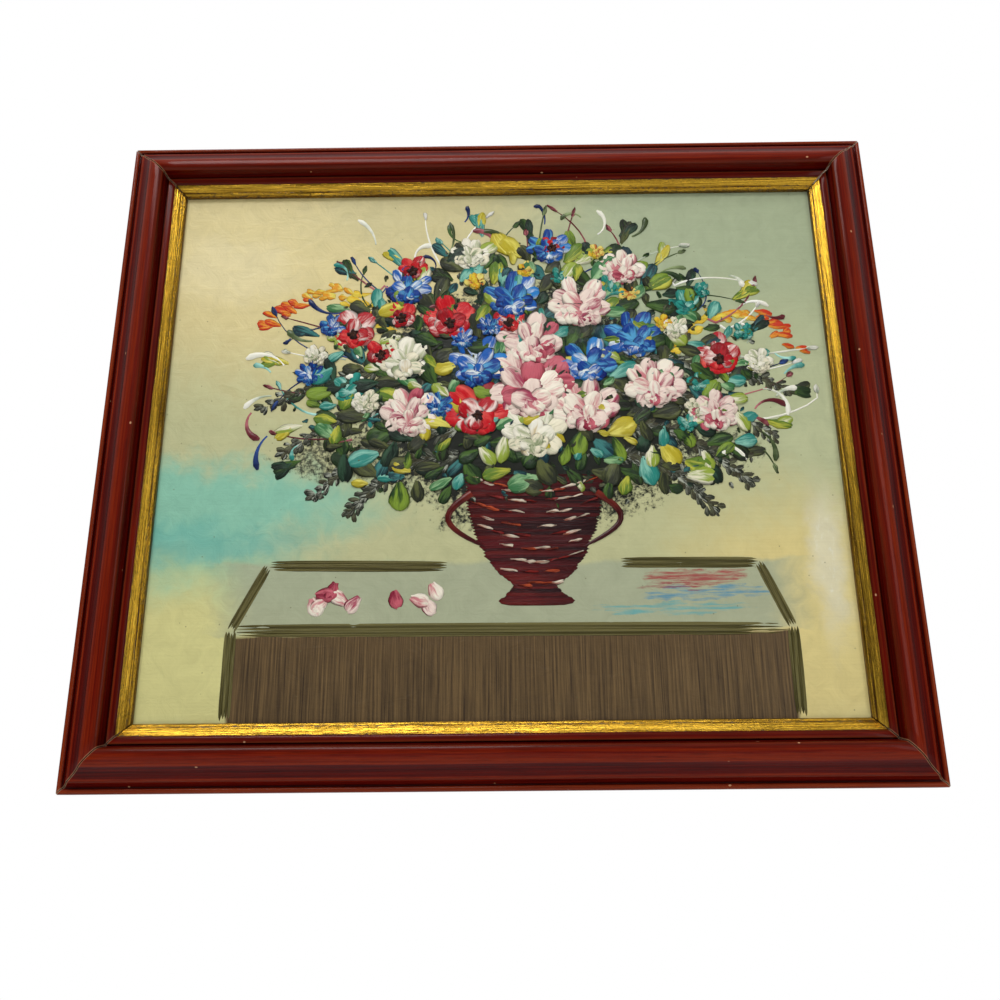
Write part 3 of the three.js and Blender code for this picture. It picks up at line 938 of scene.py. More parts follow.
@dataclass
class MitredFrame:
    """The four rails: one moulding, mitred at both ends and butted with a hairline gap."""

    outer_width: float
    outer_height: float
    back: float
    middle: Vector
    section: MouldingSection = field(default_factory=MouldingSection)
    mitre_gap: float = 0.45
    rings: int = 46
    eased_end: float = 0.35
    end_sink: float = 0.16
    front_from: float = 9.9
    wander: float = 0.05
    wave_scale: Point = (22.0, 160.0, 5.0)
    wave_range: Ramp = (0.25, 0.75, -1.0, 1.0)
    end_share: float = 0.999
    gilt_from: float = 0.7
    raw_from: float = 1.45
    sawn_depth: float = 0.02

    def tree(self) -> Bench:
        """Builds the tree that runs the section along a rail and cuts the mitres."""
        rail, given = geometry_bench("mitred_rail", {
            "Length": "Float", "Mitre Gap": "Float", "Rings": "Int", "Eased End": "Float", "Wander": "Float",
            "Rail Number": "Float", "Stained": "Material", "Gilt": "Material", "Raw": "Material",
        })
        outline = rail.add("GeometryNodeMeshToCurve", {"Mesh": given["Geometry"]})
        line = rail.add("GeometryNodeCurvePrimitiveLine", {"Start": (-0.5, 0, 0), "End": (0.5, 0, 0)})
        path = rail.add("GeometryNodeResampleCurve", {"Curve": line.outputs[0], "Count": given["Rings"]})
        run = rail.add("GeometryNodeCurveToMesh", {
            "Curve": path.outputs[0], "Profile Curve": outline.outputs[0], "Fill Caps": True,
        })
        height, inward, zone, girth = (rail.stored(name) for name in ("height", "inward", "zone", "girth"))
        along = rail.parts(rail.add("GeometryNodeInputPosition").outputs[0])[0]
        half = rail.math("MULTIPLY", given["Length"], 0.5)
        loss = rail.math("MULTIPLY_ADD", given["Mitre Gap"], -math.sqrt(0.5), half)
        reach = rail.math("SUBTRACT", loss, inward)
        # Each end ring is drawn close to its neighbour, so that the easing of the mitre's edge is short.
        kept = rail.math("SUBTRACT", 1.0, rail.math("DIVIDE", given["Eased End"], reach))
        spans = rail.math("SUBTRACT", given["Rings"], 1.0)
        inner = rail.math("SUBTRACT", 1.0, rail.math("DIVIDE", 2.0, spans))
        share = rail.math("MULTIPLY", along, 2.0)
        size = rail.math("ABSOLUTE", share)
        drawn = rail.math("MULTIPLY", size, rail.math("DIVIDE", kept, inner))
        out = rail.math("MULTIPLY", rail.math("MINIMUM", drawn, 1.0), reach)
        x = rail.math("MULTIPLY", out, rail.math("SIGN", share))
        grain = rail.joined(x, girth, given["Rail Number"])
        waves = rail.noise(rail.scaled(grain, *self.wave_scale), 2.0, 0.5)
        swell = rail.math("MULTIPLY", rail.between(waves, *self.wave_range), given["Wander"])
        is_end = rail.math("GREATER_THAN", size, self.end_share)
        moved = rail.math("SUBTRACT", swell, rail.math("MULTIPLY", is_end, self.end_sink * MM))
        is_front = rail.math("GREATER_THAN", height, self.front_from * MM)
        tall = rail.math("MULTIPLY_ADD", moved, is_front, height)
        target = rail.joined(x, rail.math("MULTIPLY", tall, -1.0), rail.math("MULTIPLY", inward, -1.0))
        to_end = rail.math("SUBTRACT", reach, out)
        shape = run.outputs[0]
        for name, value, kind in (("grain", grain, "FLOAT_VECTOR"), ("mitre", to_end, "FLOAT")):
            inputs = {"Geometry": shape, "Name": name, "Value": value}
            shape = rail.add("GeometryNodeStoreNamedAttribute", inputs, data_type=kind).outputs[0]
        placed = rail.add("GeometryNodeSetPosition", {"Geometry": shape, "Position": target})
        shape = rail.add("GeometryNodeRealizeInstances", {0: placed.outputs[0]}).outputs[0]
        is_gilt = rail.math("GREATER_THAN", zone, self.gilt_from)
        is_sawn = rail.math("LESS_THAN", to_end, self.sawn_depth * MM)
        is_bare = rail.math("MAXIMUM", rail.math("GREATER_THAN", zone, self.raw_from), is_sawn)
        for finish, where in (("Stained", True), ("Gilt", is_gilt), ("Raw", is_bare)):
            inputs = {"Geometry": shape, "Selection": where, "Material": given[finish]}
            shape = rail.add("GeometryNodeSetMaterial", inputs).outputs[0]
        rail.add("NodeGroupOutput", {0: shape})
        return rail

    def build(self, stained: bpy.types.Material, gilt: bpy.types.Material, raw: bpy.types.Material) -> None:
        """Builds and places the four rails.

        Args:
            stained: Finish of the show faces.
            gilt: Finish of the sight edge.
            raw: Finish of the back, the rebate and the mitre faces.
        """
        tree = self.tree()
        wide, tall = self.outer_width, self.outer_height
        rails = (("top", wide, tall, 0), ("bottom", wide, tall, 2),
                 ("left", tall, wide, -1), ("right", tall, wide, 1))
        centre = Vector((self.middle.x, self.back, self.middle.z))
        for number, (side, length, apart, quarters) in enumerate(rails):
            mesh = grown(self.section.mesh(f"section_{side}"), tree, {
                "Length": length, "Mitre Gap": self.mitre_gap * MM, "Rings": self.rings,
                "Eased End": self.eased_end * MM, "Wander": self.wander * MM, "Rail Number": number + 1.0,
                "Stained": stained, "Gilt": gilt, "Raw": raw,
            }, f"moulding_{side}")
            turn = Matrix.Rotation(quarters * math.pi / 2, 4, "Y")
            mesh.transform(Matrix.Translation(centre) @ turn @ Matrix.Translation((0, 0, apart / 2)))
            face_outwards(mesh, crease_deg=40)
            put(mesh, "stained_moulding", f"rail_{side}")


class DabKind(Enum):
    """Shape of one press of the knife."""

    PETAL = "petal"
    LEAF = "leaf"
    STROKE = "stroke"
    BUD = "bud"
    TOUCH = "touch"


@dataclass(frozen=True)
class Stroke:
    """One stroke of thick paint, in millimetres from the picture's middle, turned clockwise from upright."""

    kind: DabKind
    across: float
    up: float
    turn: float
    length: float
    width: float
    thickness: float
    colours: Pair
    lift: float = 0.0


@dataclass(frozen=True)
class Thread:
    """One drawn line of paint: a fine stem that thins to its tip, or a comma that swells into a bead."""

    path: tuple[tuple[float, float], ...]
    girth: float
    colours: Pair
    swelling: bool = False

    def girth_at(self, share: float) -> float:
        """Gives the line's half width in millimetres at a share of its length."""
        body = share**1.7 if self.swelling else 1 - 0.6 * share
        tip = math.sqrt(max(0.04, 1 - max(0.0, (share - 0.82) / 0.19) ** 2))
        return self.girth * (0.22 + 0.78 * body) * tip


@dataclass(frozen=True)
class PetalRing:
    """One ring of petals round a blossom's heart, in millimetres."""

    count: int
    reach: float
    length: float
    width: float
    thickness: float
    lift: float


@dataclass(frozen=True)
class BlossomRecipe:
    """How one kind of blossom is laid on."""

    rings: tuple[PetalRing, ...]
    pairs: tuple[Pair, ...]
    heart: Pair | None = None


class Blossom(Enum):
    """The kinds of blossom in the bouquet."""

    ROSE = BlossomRecipe(
        (PetalRing(10, 6.4, 9.0, 6.8, 1.2, 0.35), PetalRing(8, 4.1, 7.8, 6.2, 1.35, 0.7),
         PetalRing(5, 1.8, 6.2, 5.4, 1.45, 1.0)),
        (("#f7edda", "#cf7f84"), ("#f2ddcf", "#a8405a"), ("#faf1e0", "#e2aaa6"), ("#c8616e", "#8a1f38")),
    )
    CORNFLOWER = BlossomRecipe(
        (PetalRing(8, 5.8, 8.6, 6.0, 1.1, 0.35), PetalRing(6, 3.5, 7.0, 5.4, 1.25, 0.65),
         PetalRing(4, 1.5, 5.2, 4.4, 1.35, 0.95)),
        (("#185cb2", "#e8f0ef"), ("#113c8e", "#58a8d6"), ("#2b80c8", "#f2f6f0"), ("#0c206c", "#1b69bc")),
    )
    POPPY = BlossomRecipe(
        (PetalRing(6, 5.2, 9.4, 9.6, 0.9, 0.35), PetalRing(4, 2.7, 7.4, 7.6, 1.0, 0.7)),
        (("#c5101d", "#e4544b"), ("#b00c1c", "#f4ddd4"), ("#8d0a16", "#cb1d28")),
        ("#2a191b", "#54301f"),
    )
    PEONY = BlossomRecipe(
        (PetalRing(8, 5.8, 8.4, 7.4, 0.9, 0.35), PetalRing(6, 3.4, 6.6, 6.2, 1.0, 0.65),
         PetalRing(3, 1.4, 5.0, 4.8, 1.1, 0.95)),
        (("#f7f2de", "#b3b892"), ("#f0e8cc", "#8c9a70"), ("#fbf7e6", "#d8c69c")),
    )
    TEAL = BlossomRecipe(
        (PetalRing(5, 3.7, 6.6, 6.0, 0.9, 0.35), PetalRing(3, 1.6, 5.0, 4.8, 1.0, 0.65)),
        (("#1c8678", "#a4d4c4"), ("#2a9688", "#0e5a55")),
    )
    GOLD = BlossomRecipe(
        (PetalRing(6, 3.9, 6.4, 5.6, 0.9, 0.35), PetalRing(3, 1.7, 4.8, 4.6, 1.0, 0.65)),
        (("#e9cc38", "#dd9620"), ("#f0df74", "#c65c1d")),
    )


def kinds(names: str) -> tuple[Blossom, ...]:
    """Looks kinds of blossom up by name."""
    return tuple(Blossom[name] for name in names.split())


INNER_KINDS = kinds("ROSE CORNFLOWER ROSE PEONY POPPY CORNFLOWER")
OUTER_KINDS = kinds("CORNFLOWER ROSE TEAL POPPY CORNFLOWER PEONY")
FILLER_KINDS = kinds("TEAL CORNFLOWER GOLD PEONY POPPY")
LIGHT_GREENS = (("#5d7c28", "#c0c046"), ("#b9a92a", "#e6dc6a"), ("#7f9a34", "#24401c"),
                ("#3a7444", "#9cc48e"), ("#2a857a", "#8ac6b2"), ("#93a63c", "#f0eccf"))
DARK_GREENS = (("#1d3219", "#4a6a2c"), ("#14241b", "#31503a"), ("#2b2f22", "#5c6238"),
               ("#1c1f16", "#3f5a2b"), ("#16323a", "#3f7f7c"))
DRY_DARKS = (("#34372b", "#77796a"), ("#272b22", "#b9bdac"), ("#413e2e", "#66694f"))
SPIKE_COLOURS = (("#efd54e", "#e8ba2e"), ("#e89c25", "#f2e26a"), ("#d2391f", "#ee9c34"))
LINES = (("#24371f", "#4f6a3a"), ("#17264e", "#2d4f93"), ("#3c4a2a", "#8a9a6a"), ("#eceadb", "#a7b39a"),
         ("#e9e7d6", "#f7f6ee"), ("#2b8379", "#a9dccf"), ("#5a1b22", "#b76a70"))
URN_DARKS = (("#3d070b", "#5a0e14"), ("#26060a", "#460c0e"), ("#4a0c0d", "#661815"))
URN_LIGHTS = (("#efe0c8", "#8c2f22"), ("#c2502a", "#5a1310"), ("#8c1f19", "#3a0b0e"),
              ("#f1e3cc", "#a85a44"))
URN_HANDLE = ("#3a0b0e", "#7d2a1c")
OLIVE = ("#4e4824", "#7b7446")


def moved(place: Place, turn: float, distance: float) -> Place:
    """Moves a place by a distance along a turn, clockwise from straight up."""
    return place[0] + distance * math.sin(turn), place[1] + distance * math.cos(turn)


@dataclass(frozen=True)
class Layer:
    """One spread of leaves or touches over the dome; reach and lowest are in ring spacings."""

    count: int
    reach: float
    turned: float
    shake: float
    lowest: float
    colours: tuple[Pair, ...]
    lift: float = 0.0


@dataclass(frozen=True)
class Frond:
    """One hanging frond: its side, the height of its start, and how far it sweeps out and drops."""

    side: int
    start: float
    sweep: float
    drop: float


@dataclass
class Bouquet:
    """The painted design: a dome of blossoms over a footed urn on a chest, worked out from a few sizes."""

    across: float = 15.0
    up: float = 22.0
    ring_spacing: float = 23.0
    stretch: float = 1.25
    flat_from: float = 3.3
    flatten: float = 0.9
    side_limit: float = 142.0
    low_limit: float = -118.0
    high_limit: float = 117.0
    blossom_rings: tuple[tuple[int, int], ...] = ((3, 15), (2, 11), (1, 6), (0, 1))
    blossom_sizes: tuple[float, ...] = (1.7, 1.42, 1.26, 1.02)
    blossom_low: float = -0.35
    ring_drop: float = 1.1
    heart_dabs: int = 5
    heart_reach: float = 1.3
    filler_count: int = 26
    filler_fan: Span = (-18, 216)
    filler_places: tuple[float, ...] = (1.5, 2.5, 2.6, 3.5, 3.6)
    filler_size: Span = (0.55, 0.75)
    dark_leaves: Layer = Layer(260, 3.3, 0.0, 0.06, -2.0, DARK_GREENS)
    light_leaves: Layer = Layer(320, 3.5, 1.1, 0.06, -2.0, LIGHT_GREENS + DARK_GREENS[:3], 0.3)
    crumbs: Layer = Layer(520, 3.6, 0.4, 0.08, -2.2, DARK_GREENS + DRY_DARKS)
    leaf_length: Span = (6, 14)
    crumb_size: Span = (1.8, 4.2)
    outer_fan: Span = (-24, 228)
    outer_count: int = 21
    outer_reach: float = 3.6
    outer_flatten: float = 0.92
    outer_spreads: tuple[float, ...] = (-0.5, 0.0, 0.45)
    stem_fan: Span = (-20, 220)
    stem_count: int = 34
    stem_steps: int = 9
    comma_count: int = 54
    comma_steps: int = 8
    comma_length: Span = (8, 20)
    frond_steps: int = 22
    frond_gap: float = 34.0
    frond_ways: tuple[float, ...] = (-1, -0.3, 0.3, 1)
    fronds: tuple[Frond, ...] = (
        Frond(-1, -4, 74, 30), Frond(-1, -20, 60, 34), Frond(-1, -32, 44, 30), Frond(1, -2, 70, 26),
        Frond(1, -18, 58, 32), Frond(1, -32, 42, 30), Frond(-1, 12, 84, 24), Frond(1, 14, 78, 20),
    )
    spike_steps: int = 40
    spike_gap: float = 64.0
    spike_sweep: float = 58.0
    spikes: tuple[tuple[int, float], ...] = ((-1, 32), (1, 20))
    urn_height: float = 58.0
    urn_radius: float = 30.0
    urn_rim: float = 1.9
    bowl_share: float = 0.8
    bowl_taper: float = 0.9
    waist_radius: float = 9.5
    foot_flare: float = 6.5
    foot_fall: float = 0.16
    urn_rows: int = 40
    urn_lines: int = 9
    urn_line_spacing: float = 5.6
    handle_steps: int = 12
    handle_girth: float = 1.7
    brush_tracks: int = 4
    chest_left: float = -112.0
    chest_right: float = 121.0
    chest_back: float = -58.0
    chest_front: float = -85.5
    chest_low: float = -122.5
    chest_inset: Span = (14, 12)
    urn_clearance: float = 36.0
    fallen_petals: int = 10
    seed: int = 11
    strokes: list[Stroke] = field(default_factory=list)
    threads: list[Thread] = field(default_factory=list)

    def __post_init__(self) -> None:
        """Starts the fixed run of random draws."""
        draw = random.Random(self.seed)
        self.between, self.choice, self.chance = draw.uniform, draw.choice, draw.random

    def vary(self, spread: float) -> float:
        """Draws a number up to a spread either way."""
        return self.between(-spread, spread)

    def lay(self, *args: object, **more: object) -> None:
        """Adds one stroke."""
        self.strokes.append(Stroke(*args, **more))

    def inside(self, across: float, up: float) -> Place:
        """Keeps a place clear of the frame."""
        kept_across = max(-self.side_limit, min(self.side_limit, across))
        return kept_across, max(self.low_limit, min(self.high_limit, up))

    def polar(self, around: float, rings: float) -> Place:
        """Gives a place in the dome.

        Args:
            around: Angle in radians, anticlockwise from the right.
            rings: Distance from the dome's heart, in ring spacings.

        Returns:
            The place across and up, kept clear of the frame.
        """
        reach = self.ring_spacing * rings
        rise = reach * math.sin(around) * (1.0 if rings < self.flat_from else self.flatten)
        return self.inside(self.across + reach * self.stretch * math.cos(around), self.up + rise)

    @staticmethod
    def fan(fan: Span, share: float) -> float:
        """Gives the angle at a share of a fan, which is its first angle and its sweep in degrees."""
        return math.radians(fan[0] + fan[1] * share)

    def spiral(self, layer: Layer) -> Iterator[tuple[float, float, float]]:
        """Walks over the dome on an evenly spaced spiral, shaken a little.

        Args:
            layer: Spread to lay.

        Yields:
            The angle, and the place across and up.
        """
        for i in range(layer.count):
            rings = math.sqrt((i + 0.5) / layer.count) * layer.reach
            around = i * GOLDEN_ANGLE + layer.turned
            if math.sin(around) * rings >= layer.lowest:
                yield around, *self.polar(around + self.vary(layer.shake), rings + self.vary(0.2))

    def blossom(self, kind: Blossom, across: float, up: float, size: float) -> None:
        """Lays one blossom ring by ring, the outer petals first.

        Args:
            kind: Kind of blossom.
            across: Its heart's place across.
            up: Its heart's place up.
            size: Its size against the recipe's.
        """
        recipe = kind.value
        squash = self.between(0.8, 1.0)
        lean = self.between(0, FULL_TURN)
        for depth, ring in enumerate(recipe.rings):
            start = self.between(0, FULL_TURN)
            up -= self.ring_drop * size * depth
            for k in range(ring.count):
                turn = start + FULL_TURN * k / ring.count + self.vary(0.2)
                taller = 1 + 0.25 * math.cos(turn)
                reach = ring.reach * size * self.between(0.86, 1.12) * taller
                side = 0 if math.cos(turn - lean) > 0.25 else 1
                colours = recipe.pairs[side] if self.chance() < 0.6 else self.choice(recipe.pairs)
                self.lay(
                    DabKind.PETAL, across + reach * math.sin(turn), up + reach * math.cos(turn) * squash,
                    turn + self.vary(0.25), ring.length * size * self.between(0.9, 1.1) * taller,
                    ring.width * size * self.between(0.8, 1.12), ring.thickness * self.between(0.75, 1.2),
                    colours, lift=ring.lift,
                )
        for k in range(self.heart_dabs if recipe.heart else 0):
            turn = k * GOLDEN_ANGLE
            place = moved((across, up), turn, self.heart_reach)
            self.lay(DabKind.BUD, *place, turn, 2.8, 2.3, 1.0, recipe.heart, lift=1.1)

    def lay_blossoms(self) -> None:
        """Sets the blossoms on rings that widen out of the urn."""
        for ring, count in self.blossom_rings:
            order = OUTER_KINDS if ring > 2 else INNER_KINDS
            for i in range(count):
                around = FULL_TURN * (i + 0.5 * (ring % 2)) / count
                if math.sin(around) < self.blossom_low and ring > 1:
                    continue
                across, up = self.polar(around, ring * (1 + self.vary(0.05)))
                kind = order[(i * 5 + ring) % len(order)]
                self.blossom(kind, across, up, self.blossom_sizes[ring] * self.between(0.88, 1.08))

    def lay_fillers(self) -> None:
        """Tucks small blossoms and buds between the large ones."""
        for i in range(self.filler_count):
            around = self.fan(self.filler_fan, i * GOLDEN_SHARE % 1.0)
            across, up = self.polar(around, self.choice(self.filler_places))
            kind = FILLER_KINDS[i % len(FILLER_KINDS)]
            self.blossom(kind, across, up, self.between(*self.filler_size))

    def lay_leaves(self, layer: Layer) -> None:
        """Lays a spread of short fat leaves that point roughly outwards."""
        for around, across, up in self.spiral(layer):
            turn = math.pi / 2 - around + self.vary(1.2)
            length = self.between(*self.leaf_length)
            self.lay(DabKind.LEAF, across, up, turn, length, length * self.between(0.45, 0.75),
                     self.between(0.6, 1.1), self.choice(layer.colours), lift=layer.lift)

    def lay_crumbs(self) -> None:
        """Scatters small dark touches that break up the dome's shadows and its lower edge."""
        for _, across, up in self.spiral(self.crumbs):
            size = self.between(*self.crumb_size)
            self.lay(DabKind.TOUCH, across, up, self.between(0, FULL_TURN), size, size * 0.6, 0.7,
                     self.choice(self.crumbs.colours))

    def lay_outer_leaves(self) -> None:
        """Fans longer leaves out past the blossoms, left, right and over the top."""
        for i in range(self.outer_count):
            around = self.fan(self.outer_fan, i / (self.outer_count - 1))
            reach = self.ring_spacing * (self.outer_reach + 0.25 * (i % 3))
            place = (self.across + reach * self.stretch * math.cos(around),
                     self.up + reach * self.outer_flatten * math.sin(around))
            for spread in self.outer_spreads[: 1 + (i % 3)]:
                turn = math.pi / 2 - around + spread
                self.lay(DabKind.LEAF, *moved(place, turn, 4 * abs(spread)), turn, 13 - 5 * abs(spread),
                         4.8, 0.54, self.choice(LIGHT_GREENS if i % 2 else DARK_GREENS))

    def lay_stems(self) -> None:
        """Draws fine curved stems that end in a bead all round the dome's edge."""
        shares = [k / self.stem_steps for k in range(self.stem_steps + 1)]
        for i in range(self.stem_count):
            around = self.fan(self.stem_fan, (i + 0.5) / self.stem_count) + math.radians(self.vary(4))
            near, far = self.between(2.9, 3.3), self.between(3.9, 4.7)
            bend = self.vary(0.25)
            path = tuple(self.polar(around + bend * t * t, near + (far - near) * t) for t in shares)
            colours = self.choice(LINES)
            self.threads.append(Thread(path, self.between(0.4, 0.65), colours))
            (end_x, end_y), (before_x, before_y) = path[-1], path[-2]
            self.lay(DabKind.BUD, end_x, end_y, math.atan2(end_x - before_x, end_y - before_y),
                     self.between(3, 6.5), self.between(1.7, 2.9), 0.7, colours)

    def lay_commas(self) -> None:
        """Draws curling commas of paint that swell towards their ends."""
        for i in range(self.comma_count):
            around = self.fan(self.outer_fan, i * GOLDEN_SHARE % 1.0)
            place = self.polar(around, self.between(3.0, 4.5) if i % 4 else self.between(1.8, 3.0))
            heading = around + self.vary(1.1)
            swing = self.choice((-1, 1)) * self.between(0.9, 2.2)
            stride = self.between(*self.comma_length) / self.comma_steps
            path = []
            for _ in range(self.comma_steps + 1):
                path.append(place)
                place = self.inside(*moved(place, math.pi / 2 - heading, stride))
                heading += swing / self.comma_steps
            girth = self.between(1.2, 2.1)
            self.threads.append(Thread(tuple(path), girth, self.choice(LINES), swelling=True))

    def lay_fronds(self) -> None:
        """Hangs dark feathery fronds low on both sides."""
        shares = [k / (self.frond_steps - 1) for k in range(self.frond_steps)]
        for frond in self.fronds:
            for t in shares:
                place = (self.across + frond.side * (self.frond_gap + frond.sweep * t),
                         self.up + frond.start - frond.drop * t * t + 6 * t)
                for way in self.frond_ways:
                    turn = frond.side * (math.pi / 2 + 0.7 * t) + way * self.between(0.5, 1.0)
                    self.lay(DabKind.TOUCH, *moved(place, turn, self.between(1.5, 4.5)), turn,
                             self.between(5, 9) * (1 - 0.4 * t), self.between(1.6, 3.0), 0.45,
                             self.choice(DRY_DARKS))

    def lay_spikes(self) -> None:
        """Lays two arching spikes of small yellow, orange and red touches."""
        shares = [k / (self.spike_steps - 1) for k in range(self.spike_steps)]
        for side, lean in self.spikes:
            for t in shares:
                across = self.across + side * (self.spike_gap + self.spike_sweep * t) + self.vary(3)
                up = self.up + lean + 26 * math.sin(2.2 * t) - 22 * t * t + self.vary(3.5)
                self.lay(DabKind.TOUCH, *self.inside(across, up), side * self.between(0.9, 1.8),
                         self.between(4, 9), self.between(2.2, 4.4), 0.4, SPIKE_COLOURS[int(2.99 * t)])

    def urn_half_width(self, fall: float) -> float:
        """Gives the urn's half width.

        Args:
            fall: Share of the bowl's height below the rim, and past 1 in the foot.

        Returns:
            Half width in millimetres.
        """
        if fall <= 1:
            return self.urn_radius * math.sqrt(1 - fall * fall * self.bowl_taper)
        return self.waist_radius + self.foot_flare * min(1.0, (fall - 1) / self.foot_fall) ** 2

    def lay_urn(self) -> None:
        """Lays the urn: dark level strokes, two handles and rows of short light strokes round its bowl."""
        rim = self.up - self.ring_spacing * self.urn_rim
        bowl = self.urn_height * self.bowl_share
        for row in range(self.urn_rows):
            fall = (1 + self.foot_fall) * row / (self.urn_rows - 1)
            self.lay(DabKind.STROKE, self.across + self.vary(0.4), rim - fall * bowl + 1.5, math.pi / 2,
                     2 * self.urn_half_width(fall) + self.between(-0.5, 0.7), self.between(3.2, 4.2),
                     self.between(0.22, 0.34), self.choice(URN_DARKS))
        for row in range(self.urn_lines):
            fall = (row + 0.5) / self.urn_lines
            half = self.urn_half_width(fall)
            count = max(2, round(2 * half / self.urn_line_spacing))
            for k in range(count):
                place = ((k + 0.5 + 0.5 * (row % 2)) / count - 0.5) * (2 * half - 5)
                if abs(place) > half - 3 or self.chance() < 0.3:
                    continue
                bulge = place / self.urn_radius
                sag = 8 * (1 - bulge**2) - 3 + self.vary(0.8)
                self.lay(DabKind.TOUCH, self.across + place, rim - fall * bowl - sag + 3.5,
                         math.pi / 2 - 0.45 * bulge, self.between(5.5, 8.5), self.between(0.8, 1.4), 0.6,
                         self.choice(URN_LIGHTS), lift=0.25)
        shares = [k / self.handle_steps for k in range(self.handle_steps + 1)]
        for side in (-1, 1):
            path = tuple((self.across + side * (27 - 6 * t + 13 * math.sin(math.pi * t)), rim - 5 - 24 * t)
                         for t in shares)
            self.threads.append(Thread(path, self.handle_girth, URN_HANDLE))

    def brushed_line(self, start: Place, end: Place, breadth: float) -> None:
        """Draws a straight pull of a flat brush as bristle tracks of uneven length.

        Args:
            start: Where the brush is set down.
            end: Where it lifts.
            breadth: The brush's width.
        """
        run = Vector(end) - Vector(start)
        across = Vector((run.y, -run.x)).normalized()
        for k in range(self.brush_tracks):
            first, last = self.between(0, 0.03), self.between(0.96, 1.0)
            aside = breadth * ((k + 0.5) / self.brush_tracks - 0.5)
            place = Vector(start) + run * (first + last) / 2 + across * aside
            self.lay(DabKind.STROKE, place.x, place.y, math.atan2(run.x, run.y),
                     run.length * (last - first), breadth / self.brush_tracks * 1.25,
                     self.between(0.14, 0.26), OLIVE if k % 2 else OLIVE[::-1])

    def lay_chest(self) -> None:
        """Draws the chest's edges as olive brush strokes and lays fallen petals beside the urn."""
        left, right, back, front = self.chest_left, self.chest_right, self.chest_back, self.chest_front
        back_left, back_right = left + self.chest_inset[0], right - self.chest_inset[1]
        for start, end, breadth in (
            ((back_left, back), (self.across - self.urn_clearance, back - 1), 4.4),
            ((self.across + self.urn_clearance, back), (back_right, back - 0.5), 4.4),
            ((left - 1, front), (right + 1, front - 1), 5.2),
            ((back_left, back), (left, front), 3.8),
            ((back_right, back), (right, front), 3.8),
            ((left, front), (left, self.chest_low), 4.6),
            ((right, front), (right, self.chest_low), 4.6),
        ):
            self.brushed_line(start, end, breadth)
        for _ in range(self.fallen_petals):
            self.lay(DabKind.PETAL, -44 + self.between(-36, 24), -71 + self.vary(7),
                     self.between(0, FULL_TURN), 8, 6.5, 0.8, self.choice(Blossom.ROSE.value.pairs))

    def compose(self) -> None:
        """Lays the whole design in the painter's order."""
        self.lay_chest()
        self.lay_urn()
        self.lay_fronds()
        self.lay_outer_leaves()
        self.lay_leaves(self.dark_leaves)
        self.lay_leaves(self.light_leaves)
        self.lay_crumbs()
        self.lay_spikes()
        self.lay_stems()
        self.lay_commas()
        self.lay_fillers()
        self.lay_blossoms()


